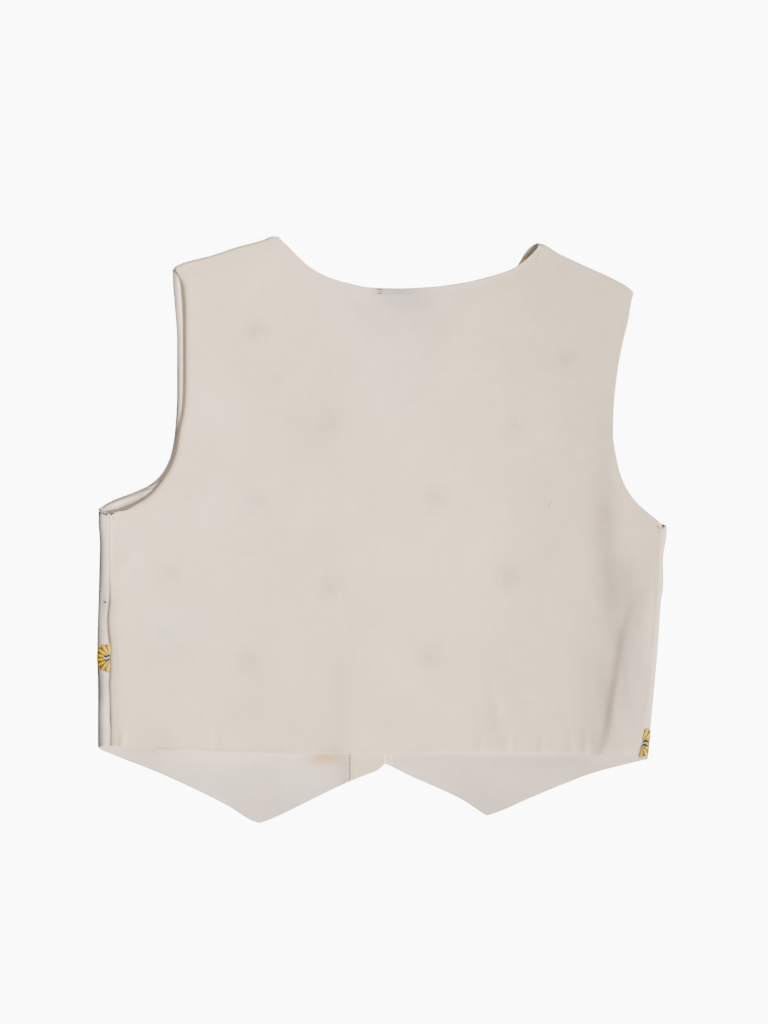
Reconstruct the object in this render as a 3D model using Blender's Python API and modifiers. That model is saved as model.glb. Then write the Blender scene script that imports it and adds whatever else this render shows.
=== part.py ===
"""A small child's waistcoat in ivory cotton, laid flat with its fronts down and its back up.

Sizes are in millimetres until the meshes are made. +X runs across the back towards its right,
+Y from the hem to the shoulders and +Z up from the table. The origin is on the table, under the
middle of the garment. Each piece is the middle surface of its cloth, given its thickness by
Solidify. The fronts are flat patterns, folded round at the sides and the shoulders to the seams
where the back is sewn on.
"""
import math

import bpy
import numpy as np

MM = 0.001
COLLECTION = "childs_waistcoat"

# The cloth.
CLOTH = 1.0            # thickness of every piece
SEAM_GAP = 0.3         # clear space between pieces that are sewn together or lie on each other
LAYER = CLOTH + SEAM_GAP
ON_TABLE = CLOTH / 2   # height of the middle surface of cloth that lies on the table

# The folds. Radii are of the cloth's middle surface.
SIDE_RADIUS = 1.1
SHOULDER_RADIUS = 0.8
SHOULDER_RETURN = 0.2  # how far a front comes back over the shoulder before its seam
SIDE_TOP = ON_TABLE + 2 * SIDE_RADIUS
SHOULDER_TOP = ON_TABLE + 2 * SHOULDER_RADIUS

# The bands inside the front edges, and the left front's step up onto the right one.
FACING_WIDTH = 19.5
FACING_INSET = 0.3
FACING_TOP_LEFT = 48.0
FACING_TOP_RIGHT = 44.0
FACING_CLEAR = 0.1     # further room over the left front, which bends under its band
STEP_HEIGHT = 2 * LAYER
STEP_RAMP = 7.0
STEP_CLEAR = 0.6

# How the back lies over the fronts, with heights of its middle surface.
BACK_REST = 2.5
STACK_TOP = ON_TABLE + 4 * LAYER + 0.2
STACK_CENTRE = -6.0
STACK_HALF_WIDTH = 10.0
STACK_SLOPE = 50.0
STACK_FADE_FROM = 72.0
STACK_FADE_OVER = 45.0
SIDE_SLOPE = 18.0
TOP_EDGE_SLOPE = 12.0

# The label inside the back of the neck.
LABEL_LEFT = -3.5
LABEL_RIGHT = 27.0
LABEL_HEIGHT = 14.0
LABEL_INSET = 0.5

# Where the armholes end in the side seams.
LEFT_UNDERARM = 8.9
RIGHT_UNDERARM = 1.0

# Heights safely past the hem and the shoulders, where every edge's table has ended.
BELOW_ALL = -200.0
ABOVE_ALL = 200.0


def table(columns, *rows):
    """Return one array of sizes in millimetres for each named column."""
    return dict(zip(columns.split(), np.array(rows, dtype=float).T))


# Outlines of the sides, as seen from above.
LEFT_FOLD = table(
    "up across",
    (-121.0, -155.6), (-117.0, -156.1), (-70.0, -156.4), (-30.0, -155.4), (-8.6, -154.9),
    (5.0, -155.6), (12.5, -155.5),
)
LEFT_SEAM = table("up across", (-119.0, -148.9), (-30.0, -148.9), (8.9, -149.3))
RIGHT_FOLD = table(
    "up across",
    (-126.1, 146.9), (-96.1, 149.5), (-72.4, 151.7), (-42.7, 153.8), (-16.3, 155.4), (1.0, 156.5),
)
RIGHT_SEAM = table(
    "up across",
    (-125.4, 142.6), (-115.9, 143.4), (-85.6, 147.9), (-38.9, 152.0), (1.0, 154.1),
)

# The back's armholes, neckline and hem.
BACK_LEFT_ARMHOLE = table(
    "up across",
    (8.9, -149.3), (9.9, -145.5), (14.2, -134.8), (22.7, -125.4), (32.1, -119.4), (42.8, -113.9),
    (54.6, -111.1), (67.8, -108.4), (79.9, -107.8), (116.8, -107.8), (133.3, -108.8), (143.6, -113.0),
)
BACK_RIGHT_ARMHOLE = table(
    "up across",
    (1.0, 154.1), (3.6, 153.0), (7.6, 148.4), (12.8, 142.2), (20.0, 136.1), (28.2, 132.0),
    (38.1, 129.3), (52.4, 127.3), (66.7, 127.6), (78.5, 128.7), (90.4, 130.3), (102.5, 132.6),
    (114.6, 135.6), (124.5, 137.3), (128.9, 138.4),
)
NECKLINE = table(
    "across up",
    (-56.2, 159.0), (-52.0, 156.0), (-46.8, 151.2), (-39.6, 144.7), (-32.0, 140.2), (-24.2, 137.1),
    (-15.0, 134.8), (-7.2, 133.2), (10.5, 132.6), (25.9, 133.3), (44.0, 135.5), (58.3, 138.8),
    (70.4, 142.6), (74.5, 144.6), (77.8, 147.0), (83.1, 151.6), (86.2, 155.2),
)
BACK_HEM = table(
    "across up",
    (-149.0, -119.0), (-128.7, -120.7), (-112.2, -121.5), (-57.2, -123.5), (32.5, -123.6),
    (95.0, -123.9), (143.0, -125.4),
)

# The shoulder folds, as seen from above.
LEFT_SHOULDER = table(
    "across up",
    (-114.8, 144.0), (-112.6, 145.3), (-109.5, 146.5), (-93.0, 150.9), (-77.6, 156.0),
    (-59.5, 161.5), (-55.6, 160.9),
)
RIGHT_SHOULDER = table(
    "across up",
    (85.4, 157.8), (88.0, 157.4), (97.9, 151.8), (113.3, 144.6), (128.7, 137.5), (136.2, 133.2),
    (138.6, 132.1),
)

# The fronts, as flat patterns: armholes, front and neck edges, and pointed hems.
LEFT_FRONT_ARMHOLE = table(
    "up across",
    (8.9, -161.3), (10.4, -157.3), (12.0, -154.0), (13.6, -152.2), (16.1, -147.4), (19.4, -138.5),
    (24.9, -126.8), (32.1, -119.9), (41.4, -115.7), (54.6, -113.5), (73.9, -112.4), (103.6, -112.4),
    (123.9, -113.7), (137.0, -114.7), (144.0, -114.8),
)
RIGHT_FRONT_ARMHOLE = table(
    "up across",
    (1.0, 159.1), (1.8, 157.0), (2.8, 155.0), (5.5, 150.0), (10.5, 141.5), (17.5, 135.2),
    (26.0, 130.8), (36.0, 128.0), (52.0, 125.9), (66.7, 126.2), (90.4, 128.9), (114.6, 134.1),
    (124.5, 136.8), (131.0, 138.4),
)
LEFT_FRONT_EDGE = table(
    "up across",
    (-129.2, 2.2), (50.0, 6.0), (60.0, 5.6), (70.0, 2.4), (89.0, -7.5), (111.0, -19.0),
    (131.6, -30.8), (146.0, -42.6), (156.4, -52.0), (160.9, -55.6), (164.0, -56.2),
)
RIGHT_FRONT_EDGE = table(
    "up across",
    (-127.0, -13.8), (40.0, -9.8), (52.0, -9.4), (66.0, -1.6), (82.0, 9.5), (107.0, 27.0),
    (128.0, 46.0), (137.5, 64.0), (143.6, 74.0), (149.0, 77.4), (153.2, 79.8), (156.0, 82.8),
    (157.8, 85.6), (160.5, 86.2),
)
LEFT_FRONT_HEM = (
    table(
        "across up",
        (-161.8, -118.7), (-157.5, -119.0), (-153.6, -120.8), (-146.9, -124.0), (-124.3, -133.1),
        (-102.6, -143.1), (-83.6, -152.7), (-69.2, -161.2), (-66.6, -161.8),
    ),
    table(
        "across up",
        (-66.6, -161.8), (-64.2, -161.0), (-57.2, -158.2), (-41.8, -150.7), (-18.2, -139.4),
        (-1.1, -132.7), (0.9, -130.8), (2.2, -129.2),
    ),
)
RIGHT_FRONT_HEM = (
    table(
        "across up",
        (-13.8, -127.0), (2.2, -129.2), (6.1, -130.4), (15.4, -135.0), (29.7, -141.6),
        (44.0, -148.5), (53.4, -154.6), (57.0, -157.1), (58.7, -157.7),
    ),
    table(
        "across up",
        (58.7, -157.7), (66.6, -154.9), (82.2, -148.0), (99.0, -141.0), (116.6, -134.3),
        (133.7, -129.7), (145.0, -127.0), (150.6, -125.6),
    ),
)

# The largest soft folds of the back. Each runs straight between two places and fades at its ends.
FOLDS = table(
    "from_across from_up to_across to_up half_width lift",
    (142.0, -22.0, 128.0, -132.0, 6.0, 1.1),
    (131.0, 70.0, 131.0, -40.0, 10.0, 0.6),
    (-133.0, -4.0, -147.0, -28.0, 4.0, 0.5),
)

MATERIALS = {
    "ivory_cotton": ((0.70, 0.64, 0.58), 0.85),
    "facing_cotton": ((0.68, 0.63, 0.57), 0.85),
    "label_tape": ((0.78, 0.77, 0.75), 0.60),
}


def smooth_curve(x, y):
    """Return a function through a table's points that bends smoothly and never overshoots."""
    step = np.diff(x)
    slope = np.diff(y) / step
    tangent = np.concatenate([slope[:1], np.zeros(len(x) - 2), slope[-1:]])
    for i in range(1, len(x) - 1):
        before, after = slope[i - 1], slope[i]
        if before * after > 0:
            weight = 2 * step[i] + step[i - 1]
            weight_after = step[i] + 2 * step[i - 1]
            tangent[i] = (weight + weight_after) / (weight / before + weight_after / after)

    def value(at):
        at = np.clip(at, x[0], x[-1])
        i = np.clip(np.searchsorted(x, at, side="right") - 1, 0, len(x) - 2)
        t = (at - x[i]) / step[i]
        low = (2 * t**3 - 3 * t**2 + 1) * y[i] + (t**3 - 2 * t**2 + t) * step[i] * tangent[i]
        high = (3 * t**2 - 2 * t**3) * y[i + 1] + (t**3 - t**2) * step[i] * tangent[i + 1]
        return low + high

    return value


def across_at(sizes):
    """Return a table's place across as a function of the height up the garment."""
    return smooth_curve(sizes["up"], sizes["across"])


def up_at(sizes):
    """Return a table's height up the garment as a function of the place across."""
    return smooth_curve(sizes["across"], sizes["up"])


def joined(before, after, place):
    """Return one function that changes from one to another at a place."""
    return lambda at: np.where(at < place, before(at), after(at))


def ease(share):
    """Rise smoothly from 0 to 1."""
    share = np.clip(share, 0, 1)
    return share * share * (3 - 2 * share)


def fade(distance, reach):
    """Fall smoothly from 1 at no distance to 0 at a reach."""
    return 1 - ease(distance / reach)


left_fold = across_at(LEFT_FOLD)
right_fold = across_at(RIGHT_FOLD)
left_seam = across_at(LEFT_SEAM)
right_seam = across_at(RIGHT_SEAM)
left_shoulder = up_at(LEFT_SHOULDER)
right_shoulder = up_at(RIGHT_SHOULDER)
left_front_edge = across_at(LEFT_FRONT_EDGE)
right_front_edge = across_at(RIGHT_FRONT_EDGE)


def left_fold_centre(up):
    """Return the line that the left side fold turns about."""
    return left_fold(up) + CLOTH / 2 + SIDE_RADIUS


def right_fold_centre(up):
    """Return the line that the right side fold turns about."""
    return right_fold(up) - CLOTH / 2 - SIDE_RADIUS


def left_shoulder_centre(across):
    """Return the line that the left shoulder's fold turns about."""
    return left_shoulder(across) - CLOTH / 2 - SHOULDER_RADIUS


def right_shoulder_centre(across):
    """Return the line that the right shoulder's fold turns about."""
    return right_shoulder(across) - CLOTH / 2 - SHOULDER_RADIUS


def fold_over(distance, radius):
    """Return how far cloth gets past a fold's centre line, and how high, at a distance along it."""
    turn = np.clip(distance / radius, 0, math.pi)
    back = np.maximum(distance - math.pi * radius, 0)
    return radius * np.sin(turn) - back, radius * (1 - np.cos(turn))


def grid_lines(near, shares, far):
    """Return a function that spreads a grid's lines between two edges.

    near and far are distances from the two edges, and shares are parts of the space between them.
    """
    taken = near[-1] + far[0]
    fixed = [*near, *[near[-1]] * len(shares), *[taken - distance for distance in far]]
    share = [0.0] * len(near) + list(shares) + [1.0] * len(far)
    fixed, share = np.array(fixed), np.array(share)

    def spread(start, end):
        start, end = np.asarray(start)[..., None], np.asarray(end)[..., None]
        return start + fixed + share * (end - start - taken)

    return spread


def share_at(place, start, end, near, far):
    """Return the share at which a grid line falls on a place between two edges."""
    return (place - start - near[-1]) / (end - start - near[-1] - far[0])


def pattern(left, right, bottom, top, corners, columns, rows):
    """Return the places across and up of a grid that fills a panel's four edges."""
    left_up = rows(corners["left_bottom"], corners["left_top"])
    right_up = rows(corners["right_bottom"], corners["right_top"])
    across = columns(left(left_up), right(right_up))
    up = rows(bottom(across[0]), top(across[-1])).T
    return across, up


def step_height(across, up):
    """Return how high the left front and its band are lifted, where it lies on the right one."""
    start = right_front_edge(up) - STEP_CLEAR - STEP_RAMP
    return STEP_HEIGHT * ease((across - start) / STEP_RAMP)


def folded(across, up, side, side_centre, shoulder_centre):
    """Return the surface of a front on the table, folded round its side and its shoulder."""
    centre = side_centre(up)
    beyond = side * (across - centre)
    reach, rise = fold_over(beyond, SIDE_RADIUS)
    across = np.where(beyond > 0, centre + side * reach, across)
    centre = shoulder_centre(across)
    beyond = up - centre
    reach, shoulder_rise = fold_over(beyond, SHOULDER_RADIUS)
    up = np.where(beyond > 0, centre + reach, up)
    return np.stack([across, up, ON_TABLE + rise + shoulder_rise], axis=-1)


def left_front_surface(across, up):
    """Return the middle surface of the left front."""
    points = folded(across, up, -1, left_fold_centre, left_shoulder_centre)
    points[..., 2] += step_height(points[..., 0], points[..., 1])
    return points


def right_front_surface(across, up):
    """Return the middle surface of the right front."""
    return folded(across, up, 1, right_fold_centre, right_shoulder_centre)


def fold_lift(across, up):
    """Return the height that the back's largest soft folds add."""
    lift = np.zeros_like(across)
    for fold in zip(*FOLDS.values()):
        from_across, from_up, to_across, to_up, half_width, height = fold
        length = math.hypot(to_across - from_across, to_up - from_up)
        along = np.array([to_across - from_across, to_up - from_up]) / length
        forward = (across - from_across) * along[0] + (up - from_up) * along[1]
        aside = (across - from_across) * along[1] - (up - from_up) * along[0]
        ends = ease(forward / (length / 3)) * ease((length - forward) / (length / 6))
        lift += height * ends * np.exp(-((aside / half_width) ** 2))
    return lift


def back_top(across):
    """Return the back's upper edge: two shoulder seams and the neckline between them."""
    inset = CLOTH / 2 + SHOULDER_RADIUS + SHOULDER_RETURN + SEAM_GAP
    neck_left, neck_right = NECKLINE["across"][[0, -1]]
    edge = joined(lambda at: left_shoulder(at) - inset, up_at(NECKLINE), neck_left)
    return joined(edge, lambda at: right_shoulder(at) - inset, neck_right)(across)


def back_surface(across, up):
    """Return the middle surface of the back."""
    stack = fade(np.abs(across - STACK_CENTRE) - STACK_HALF_WIDTH, STACK_SLOPE)
    stack = stack * fade(up - STACK_FADE_FROM, STACK_FADE_OVER)
    sides = fade(across - left_seam(up), SIDE_SLOPE) + fade(right_seam(up) - across, SIDE_SLOPE)
    top = fade(back_top(across) - up, TOP_EDGE_SLOPE)
    height = BACK_REST + (STACK_TOP - BACK_REST) * stack + (SIDE_TOP - BACK_REST) * sides
    height = height + (SHOULDER_TOP - BACK_REST) * top + fold_lift(across, up)
    return np.stack([across, up, height], axis=-1)


def moved_out(surface, across, up, distance):
    """Return points at a distance from a surface, along its normals."""
    nudge = 0.05
    here = surface(across, up)
    aside = surface(across + nudge, up) - here
    ahead = surface(across, up + nudge) - here
    normal = np.cross(aside, ahead)
    return here + distance * normal / np.linalg.norm(normal, axis=-1, keepdims=True)


def back_panel():
    """Return the grid of the back, from its side seams to its shoulder seams and neckline."""
    left = joined(left_seam, across_at(BACK_LEFT_ARMHOLE), LEFT_UNDERARM)
    right = joined(right_seam, across_at(BACK_RIGHT_ARMHOLE), RIGHT_UNDERARM)
    hem = up_at(BACK_HEM)
    corners = {
        "left_bottom": float(hem(left(BELOW_ALL))),
        "left_top": float(back_top(BACK_LEFT_ARMHOLE["across"][-1])),
        "right_bottom": float(hem(right(BELOW_ALL))),
        "right_top": float(back_top(BACK_RIGHT_ARMHOLE["across"][-1])),
    }
    near, far = (0, 2, 7), (38, 33, 28, 23, 18, 13, 9, 5, 2, 0)
    top_edge = BACK_LEFT_ARMHOLE["across"][-1], BACK_RIGHT_ARMHOLE["across"][-1]
    necks = [share_at(place, *top_edge, near, far) for place in NECKLINE["across"][[0, -1]]]
    shares = [*np.linspace(0, necks[0], 6)[1:], *np.linspace(*necks, 18)[1:], (necks[1] + 1) / 2]
    columns = grid_lines(near, shares, far)
    near, far = (0, 3, 9), (12, 6, 2, 0)
    underarm = share_at(LEFT_UNDERARM, corners["left_bottom"], corners["left_top"], near, far)
    below = np.linspace(0, underarm, 10)[1:]
    above = np.linspace(underarm, 1, 16)[1:-1]
    past_underarm = underarm + 0.008
    rows = grid_lines(near, [*below, past_underarm, *above], far)
    across, up = pattern(left, right, hem, back_top, corners, columns, rows)
    across = across + SEAM_GAP * (fade(across - left(up), 2) - fade(right(up) - across, 2))
    return back_surface(across, up)


def front_rows(underarm, seam_bottom, seam_top):
    """Return a front's rows: close together at the hem, the underarm and the shoulder's fold."""
    turn = [SHOULDER_RETURN + math.pi * SHOULDER_RADIUS * part for part in (1, 0.8, 0.6, 0.4, 0.2, 0)]
    near, far = (0, 4, 12), (8, 5, *turn, 0)
    share = share_at(underarm, seam_bottom, seam_top, near, far)
    millimetre = 1 / (seam_top - seam_bottom - near[-1] - far[0])
    below = [share * part for part in (0.25, 0.5, 0.75, 1)]
    past = [share + millimetre * step for step in (0.9, 1.8, 2.7, 4.7, 7.5, 11.5, 16, 21)]
    return grid_lines(near, [*below, *past, *np.linspace(past[-1], 1, 12)[1:-1]], far)


def front_corners(side_edge, free_edge, hem, shoulder_top):
    """Return the heights of a front's four corners, at its side seam and its free edge."""
    return {
        "side_bottom": float(hem(side_edge(BELOW_ALL))),
        "side_top": float(shoulder_top(side_edge(ABOVE_ALL))),
        "edge_bottom": float(hem(free_edge(BELOW_ALL))),
        "edge_top": float(shoulder_top(free_edge(ABOVE_ALL))),
    }


def left_seam_reach(up):
    """Return where the left side seam falls on the left front's flat pattern."""
    centre = left_fold_centre(up)
    return centre - math.pi * SIDE_RADIUS - (left_seam(up) - centre)


def right_seam_reach(up):
    """Return where the right side seam falls on the right front's flat pattern."""
    centre = right_fold_centre(up)
    return centre + math.pi * SIDE_RADIUS + (centre - right_seam(up))


def turn_lines(back):
    """Return distances from a side seam to grid lines round the fold, past a strip of cloth."""
    return [back + math.pi * SIDE_RADIUS * part for part in (0, 0.17, 0.33, 0.5, 0.67, 0.83, 1)]


def left_front():
    """Return the grid of the left front, from its side seam round the fold to its free edge."""
    side_edge = joined(left_seam_reach, across_at(LEFT_FRONT_ARMHOLE), LEFT_UNDERARM)
    hem = joined(*[up_at(part) for part in LEFT_FRONT_HEM], LEFT_FRONT_HEM[1]["across"][0])

    def top(across):
        return left_shoulder_centre(across) + math.pi * SHOULDER_RADIUS + SHOULDER_RETURN

    ends = front_corners(side_edge, left_front_edge, hem, top)
    corners = {
        "left_bottom": ends["side_bottom"], "left_top": ends["side_top"],
        "right_bottom": ends["edge_bottom"], "right_top": ends["edge_top"],
    }
    near = (0, 2.4, *turn_lines(4.8), 10.5, 13)
    far = (27, 24.5, 22.5, 20.5, 18.5, 16.5, 12, 8, 4, 0)
    hem_ends = LEFT_FRONT_HEM[0]["across"][0], LEFT_FRONT_HEM[1]["across"][-1]
    point = share_at(LEFT_FRONT_HEM[1]["across"][0], *hem_ends, near, far)
    shares = [*np.linspace(0, point, 9)[1:], *np.linspace(point, 1, 5)[1:-1]]
    rows = front_rows(LEFT_UNDERARM, ends["side_bottom"], ends["side_top"])
    return pattern(side_edge, left_front_edge, hem, top, corners, grid_lines(near, shares, far), rows)


def right_front():
    """Return the grid of the right front, from its free edge round the fold to its side seam."""
    side_edge = joined(right_seam_reach, across_at(RIGHT_FRONT_ARMHOLE), RIGHT_UNDERARM)
    hem = joined(*[up_at(part) for part in RIGHT_FRONT_HEM], RIGHT_FRONT_HEM[1]["across"][0])

    def top(across):
        return right_shoulder_centre(across) + math.pi * SHOULDER_RADIUS + SHOULDER_RETURN

    ends = front_corners(side_edge, right_front_edge, hem, top)
    corners = {
        "left_bottom": ends["edge_bottom"], "left_top": ends["edge_top"],
        "right_bottom": ends["side_bottom"], "right_top": ends["side_top"],
    }
    near = (0, 4, 12)
    far = (12, 8, 6, *turn_lines(1.3)[::-1], 0)
    hem_ends = RIGHT_FRONT_HEM[0]["across"][0], RIGHT_FRONT_HEM[1]["across"][-1]
    point = share_at(RIGHT_FRONT_HEM[1]["across"][0], *hem_ends, near, far)
    shares = [*np.linspace(0, point, 7)[1:], *np.linspace(point, 1, 9)[1:-1]]
    rows = front_rows(RIGHT_UNDERARM, ends["side_bottom"], ends["side_top"])
    return pattern(right_front_edge, side_edge, hem, top, corners, grid_lines(near, shares, far), rows)


def band(left, right, bottom, top, part, rows):
    """Return a grid between two edges, a lower edge and a level upper edge."""
    level = np.linspace(0, 1, rows + 1)[:, None]
    low = bottom(left(BELOW_ALL) + (right(BELOW_ALL) - left(BELOW_ALL)) * part)
    up = low + (top - low) * level
    return left(up) + (right(up) - left(up)) * part, up


def left_facing():
    """Return the band inside the left front's edge, lifted off the front's own surface."""
    hem = up_at(LEFT_FRONT_HEM[1])
    across, up = band(
        lambda at: left_front_edge(at) - FACING_WIDTH,
        lambda at: left_front_edge(at) - FACING_INSET,
        lambda at: hem(at) + FACING_INSET,
        FACING_TOP_LEFT, np.array([0, 0.05, 0.155, 0.27, 0.4, 0.6, 0.8, 1]), 22,
    )
    return moved_out(left_front_surface, across, up, LAYER + FACING_CLEAR)


def right_facing():
    """Return the band inside the right front's edge, lifted off the front's own surface."""
    hem = up_at(RIGHT_FRONT_HEM[0])
    across, up = band(
        lambda at: right_front_edge(at) + FACING_INSET,
        lambda at: right_front_edge(at) + FACING_WIDTH,
        lambda at: hem(at) + FACING_INSET,
        FACING_TOP_RIGHT, np.linspace(0, 1, 6), 12,
    )
    return moved_out(right_front_surface, across, up, LAYER)


def neck_label():
    """Return the label inside the neck, lowered off the back's own surface."""
    across = np.linspace(LABEL_LEFT, LABEL_RIGHT, 9)[None, :] * np.ones((5, 1))
    drop = np.linspace(LABEL_HEIGHT, 0, 5)[:, None]
    return moved_out(back_surface, across, back_top(across) - LABEL_INSET - drop, -LAYER)


def add_material(name):
    """Return a plain material from its row in MATERIALS."""
    colour, roughness = MATERIALS[name]
    material = bpy.data.materials.new(name)
    material.use_nodes = True
    shader = material.node_tree.nodes["Principled BSDF"]
    shader.inputs["Base Color"].default_value = (*colour, 1)
    shader.inputs["Roughness"].default_value = roughness
    shader.inputs["Metallic"].default_value = 0
    material.diffuse_color = (*colour, 1)
    return material


def add_cloth(name, points, material, collection):
    """Add one piece of cloth: a grid of its middle surface, with a thickness."""
    rows, columns = points.shape[:2]
    corners = np.arange(rows * columns).reshape(rows, columns)
    faces = np.stack(
        [corners[:-1, :-1], corners[:-1, 1:], corners[1:, 1:], corners[1:, :-1]], axis=-1
    )
    mesh = bpy.data.meshes.new(name)
    mesh.from_pydata((points.reshape(-1, 3) * MM).tolist(), [], faces.reshape(-1, 4).tolist())
    mesh.shade_smooth()
    mesh.materials.append(material)
    piece = bpy.data.objects.new(name, mesh)
    collection.objects.link(piece)
    thickness = piece.modifiers.new("thickness", "SOLIDIFY")
    thickness.thickness = CLOTH * MM
    thickness.offset = 0
    return piece


def main():
    """Clear the scene and lay out the waistcoat."""
    for item in list(bpy.data.objects):
        bpy.data.objects.remove(item)
    collection = bpy.data.collections.new(COLLECTION)
    bpy.context.scene.collection.children.link(collection)
    cotton = add_material("ivory_cotton")
    facing = add_material("facing_cotton")
    tape = add_material("label_tape")
    add_cloth("back_panel", back_panel(), cotton, collection)
    add_cloth("front_left", left_front_surface(*left_front()), cotton, collection)
    add_cloth("front_right", right_front_surface(*right_front()), cotton, collection)
    add_cloth("facing_left", left_facing(), facing, collection)
    add_cloth("facing_right", right_facing(), facing, collection)
    add_cloth("neck_label", neck_label(), tape, collection)


main()
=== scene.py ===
"""Looks of a small child's waistcoat in ivory cotton, laid flat with its fronts down.

Tables and surfaces are in millimetres, in the part's own frame: +X across the back, +Y from the
hem to the shoulders, +Z up from the table. Meshes are made in metres. Each piece of cloth is a
thin closed shell on a grid. Sewing and embroidery are threads that lie on those shells.
"""
import math

import bpy
import numpy as np
from bpy.props import FloatProperty, FloatVectorProperty, IntProperty, PointerProperty
from mathutils import Matrix, Vector


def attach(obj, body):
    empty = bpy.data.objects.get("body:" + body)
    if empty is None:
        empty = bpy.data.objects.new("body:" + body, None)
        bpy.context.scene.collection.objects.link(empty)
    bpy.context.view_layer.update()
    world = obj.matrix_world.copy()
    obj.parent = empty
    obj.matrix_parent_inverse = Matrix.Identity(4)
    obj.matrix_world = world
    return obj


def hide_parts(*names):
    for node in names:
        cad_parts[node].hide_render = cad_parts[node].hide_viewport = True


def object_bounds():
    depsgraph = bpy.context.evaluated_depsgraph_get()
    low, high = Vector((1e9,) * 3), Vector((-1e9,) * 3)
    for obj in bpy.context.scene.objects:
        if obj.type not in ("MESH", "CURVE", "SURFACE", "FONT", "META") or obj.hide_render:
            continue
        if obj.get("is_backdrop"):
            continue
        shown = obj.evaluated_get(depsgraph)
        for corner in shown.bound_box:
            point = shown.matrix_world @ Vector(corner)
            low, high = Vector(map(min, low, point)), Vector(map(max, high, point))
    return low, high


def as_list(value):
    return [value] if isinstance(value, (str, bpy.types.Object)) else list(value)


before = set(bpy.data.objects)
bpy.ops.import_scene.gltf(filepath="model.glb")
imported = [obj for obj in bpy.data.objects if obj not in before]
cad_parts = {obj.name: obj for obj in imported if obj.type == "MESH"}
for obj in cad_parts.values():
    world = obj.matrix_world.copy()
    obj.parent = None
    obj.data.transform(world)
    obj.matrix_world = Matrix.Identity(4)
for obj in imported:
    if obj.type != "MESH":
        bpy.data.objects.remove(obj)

bl_info = {
    "name": "Embroidered waistcoat",
    "version": (1, 0, 0),
    "blender": (4, 5, 0),
    "location": "3D View > Sidebar > Waistcoat",
    "description": "Makes a small embroidered cotton waistcoat that lies flat, back up",
    "category": "Object",
}

CAD_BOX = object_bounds()
MM = 0.001

# Heights of the upper and lower faces that the cloth keeps to, over the table.
THREAD_ROOM = 0.35     # left free under the fronts for the embroidery on their outer faces
SIDE_FACE = 3.2        # upper face along the side seams
SHOULDER_FACE = 2.6    # upper face along the shoulders
BACK_FACE = 3.0        # upper face of the back where it lies on the fronts
STACK_FACE = 4.4       # upper face of the back over the overlapping front edges

# The seams and folds.
SEAM_GAP = -0.45       # sewn edges press into each other
STEP_RISE = 1.75       # the left front's step up onto the right one
STEP_RAMP = 12.0
STEP_CLEAR = 0.6
HEM_DROP = 1.0         # how far the back's hem settles onto the fronts
HEM_DROP_OVER = 16.0
V_SAG = 0.4            # how far the back sags between the front edges
LAYER_GAP = 0.12
LEFT_ROUND = 4.8       # how far from its outline each fold rounds off on top
RIGHT_ROUND = 2.1
SHOULDER_ROUND = 3.0
FOLD_TURN = 0.6        # how high over the lower layer the left fold turns back
ARMHOLE_DROP = 1.15    # how far the back's left armhole edge droops onto the front
ARMHOLE_DROP_OVER = 2.9
ARMHOLE_DROP_START = 8.0    # how far over the underarm the droop is whole
ARMHOLE_ROLL = 0.55    # height of the roll inside the left front's armhole edge
ARMHOLE_ROLL_AT = 2.5
ARMHOLE_ROLL_WIDTH = 1.2
ARMHOLE_START = 9.0    # how far over the underarm the roll is whole
SEAM_GROOVE = 0.5      # depth of the left side seam's groove towards the hem
SEAM_DEEP_FROM = -26.0
SEAM_DEEP_OVER = 24.0
FRONT_GROOVE_WIDTH = 1.8
BACK_GROOVE_WIDTH = 2.3
CORNER_BLEND = 4.0     # how softly the back's shoulders start beside the neck
EDGE_ROLL = 0.08       # height of the roll along a turned edge
BAND_ROLL = 0.03
RIM = 0.9              # distance from an edge to the crest of its turned roll
RIM_FLAT = 2.4         # distance from an edge to the hollow inside the roll
RIM_WIDTH = 0.7
RIM_HOLLOW = 0.5       # depth of the hollow, as a share of the roll's height

# Slight waves of the cloth: heights and lengths.
FRONT_RIPPLE = 0.12
FRONT_RIPPLE_LENGTH = 60.0
BACK_RIPPLE = 0.16
BACK_RIPPLE_LENGTH = 90.0
BACK_FINE_RIPPLE = 0.05
BACK_FINE_RIPPLE_LENGTH = 28.0

# The bands inside the front edges.
FACING_WIDTH = 19.5
FACING_THICK = 0.50    # as a share of the cloth's thickness
FACING_GAP = 0.02
FACING_SINK = 0.17     # how far its sewn edge presses into the front
FACING_SINK_OVER = 2.0
FACING_INSET = 0.3
FACING_TOP_LEFT = 48.0
FACING_TOP_RIGHT = 44.0

# How the back rises over the overlap in the middle.
STACK_CENTRE = -6.0
STACK_HALF_WIDTH = 8.0
STACK_SLOPE = 72.0
STACK_FADE_FROM = 66.0
STACK_FADE_OVER = 55.0
SIDE_SLOPE = 18.0
TOP_EDGE_SLOPE = 12.0

# The label inside the back of the neck.
LABEL_LEFT = -3.5
LABEL_RIGHT = 27.0
LABEL_HEIGHT = 14.0
LABEL_INSET = 0.5
LABEL_SPACING = 1.0
LABEL_THICK = 0.8      # as a share of the cloth's thickness

# Where the armholes end in the side seams, and heights past every edge.
LEFT_UNDERARM = 8.9
RIGHT_UNDERARM = 1.0
BELOW_ALL = -200.0
ABOVE_ALL = 200.0

# Distances of grid lines from an edge, close enough together to round it, and shares of the
# spacing set for the grids at which their other lines lie.
EDGE_LINES = (0, 0.08, 0.3, 0.8, 1.5, 2.3)
ROW_SPACING = 1.3
BACK_COLUMN_SPACING = 0.62
FINE_REACH = 5.0       # how far from a corner the lines stay closer together
BAND_SPACING = 0.6


def table(columns, *rows):
    """Return one array of sizes in millimetres for each named column."""
    return dict(zip(columns.split(), np.array(rows, dtype=float).T))


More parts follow.
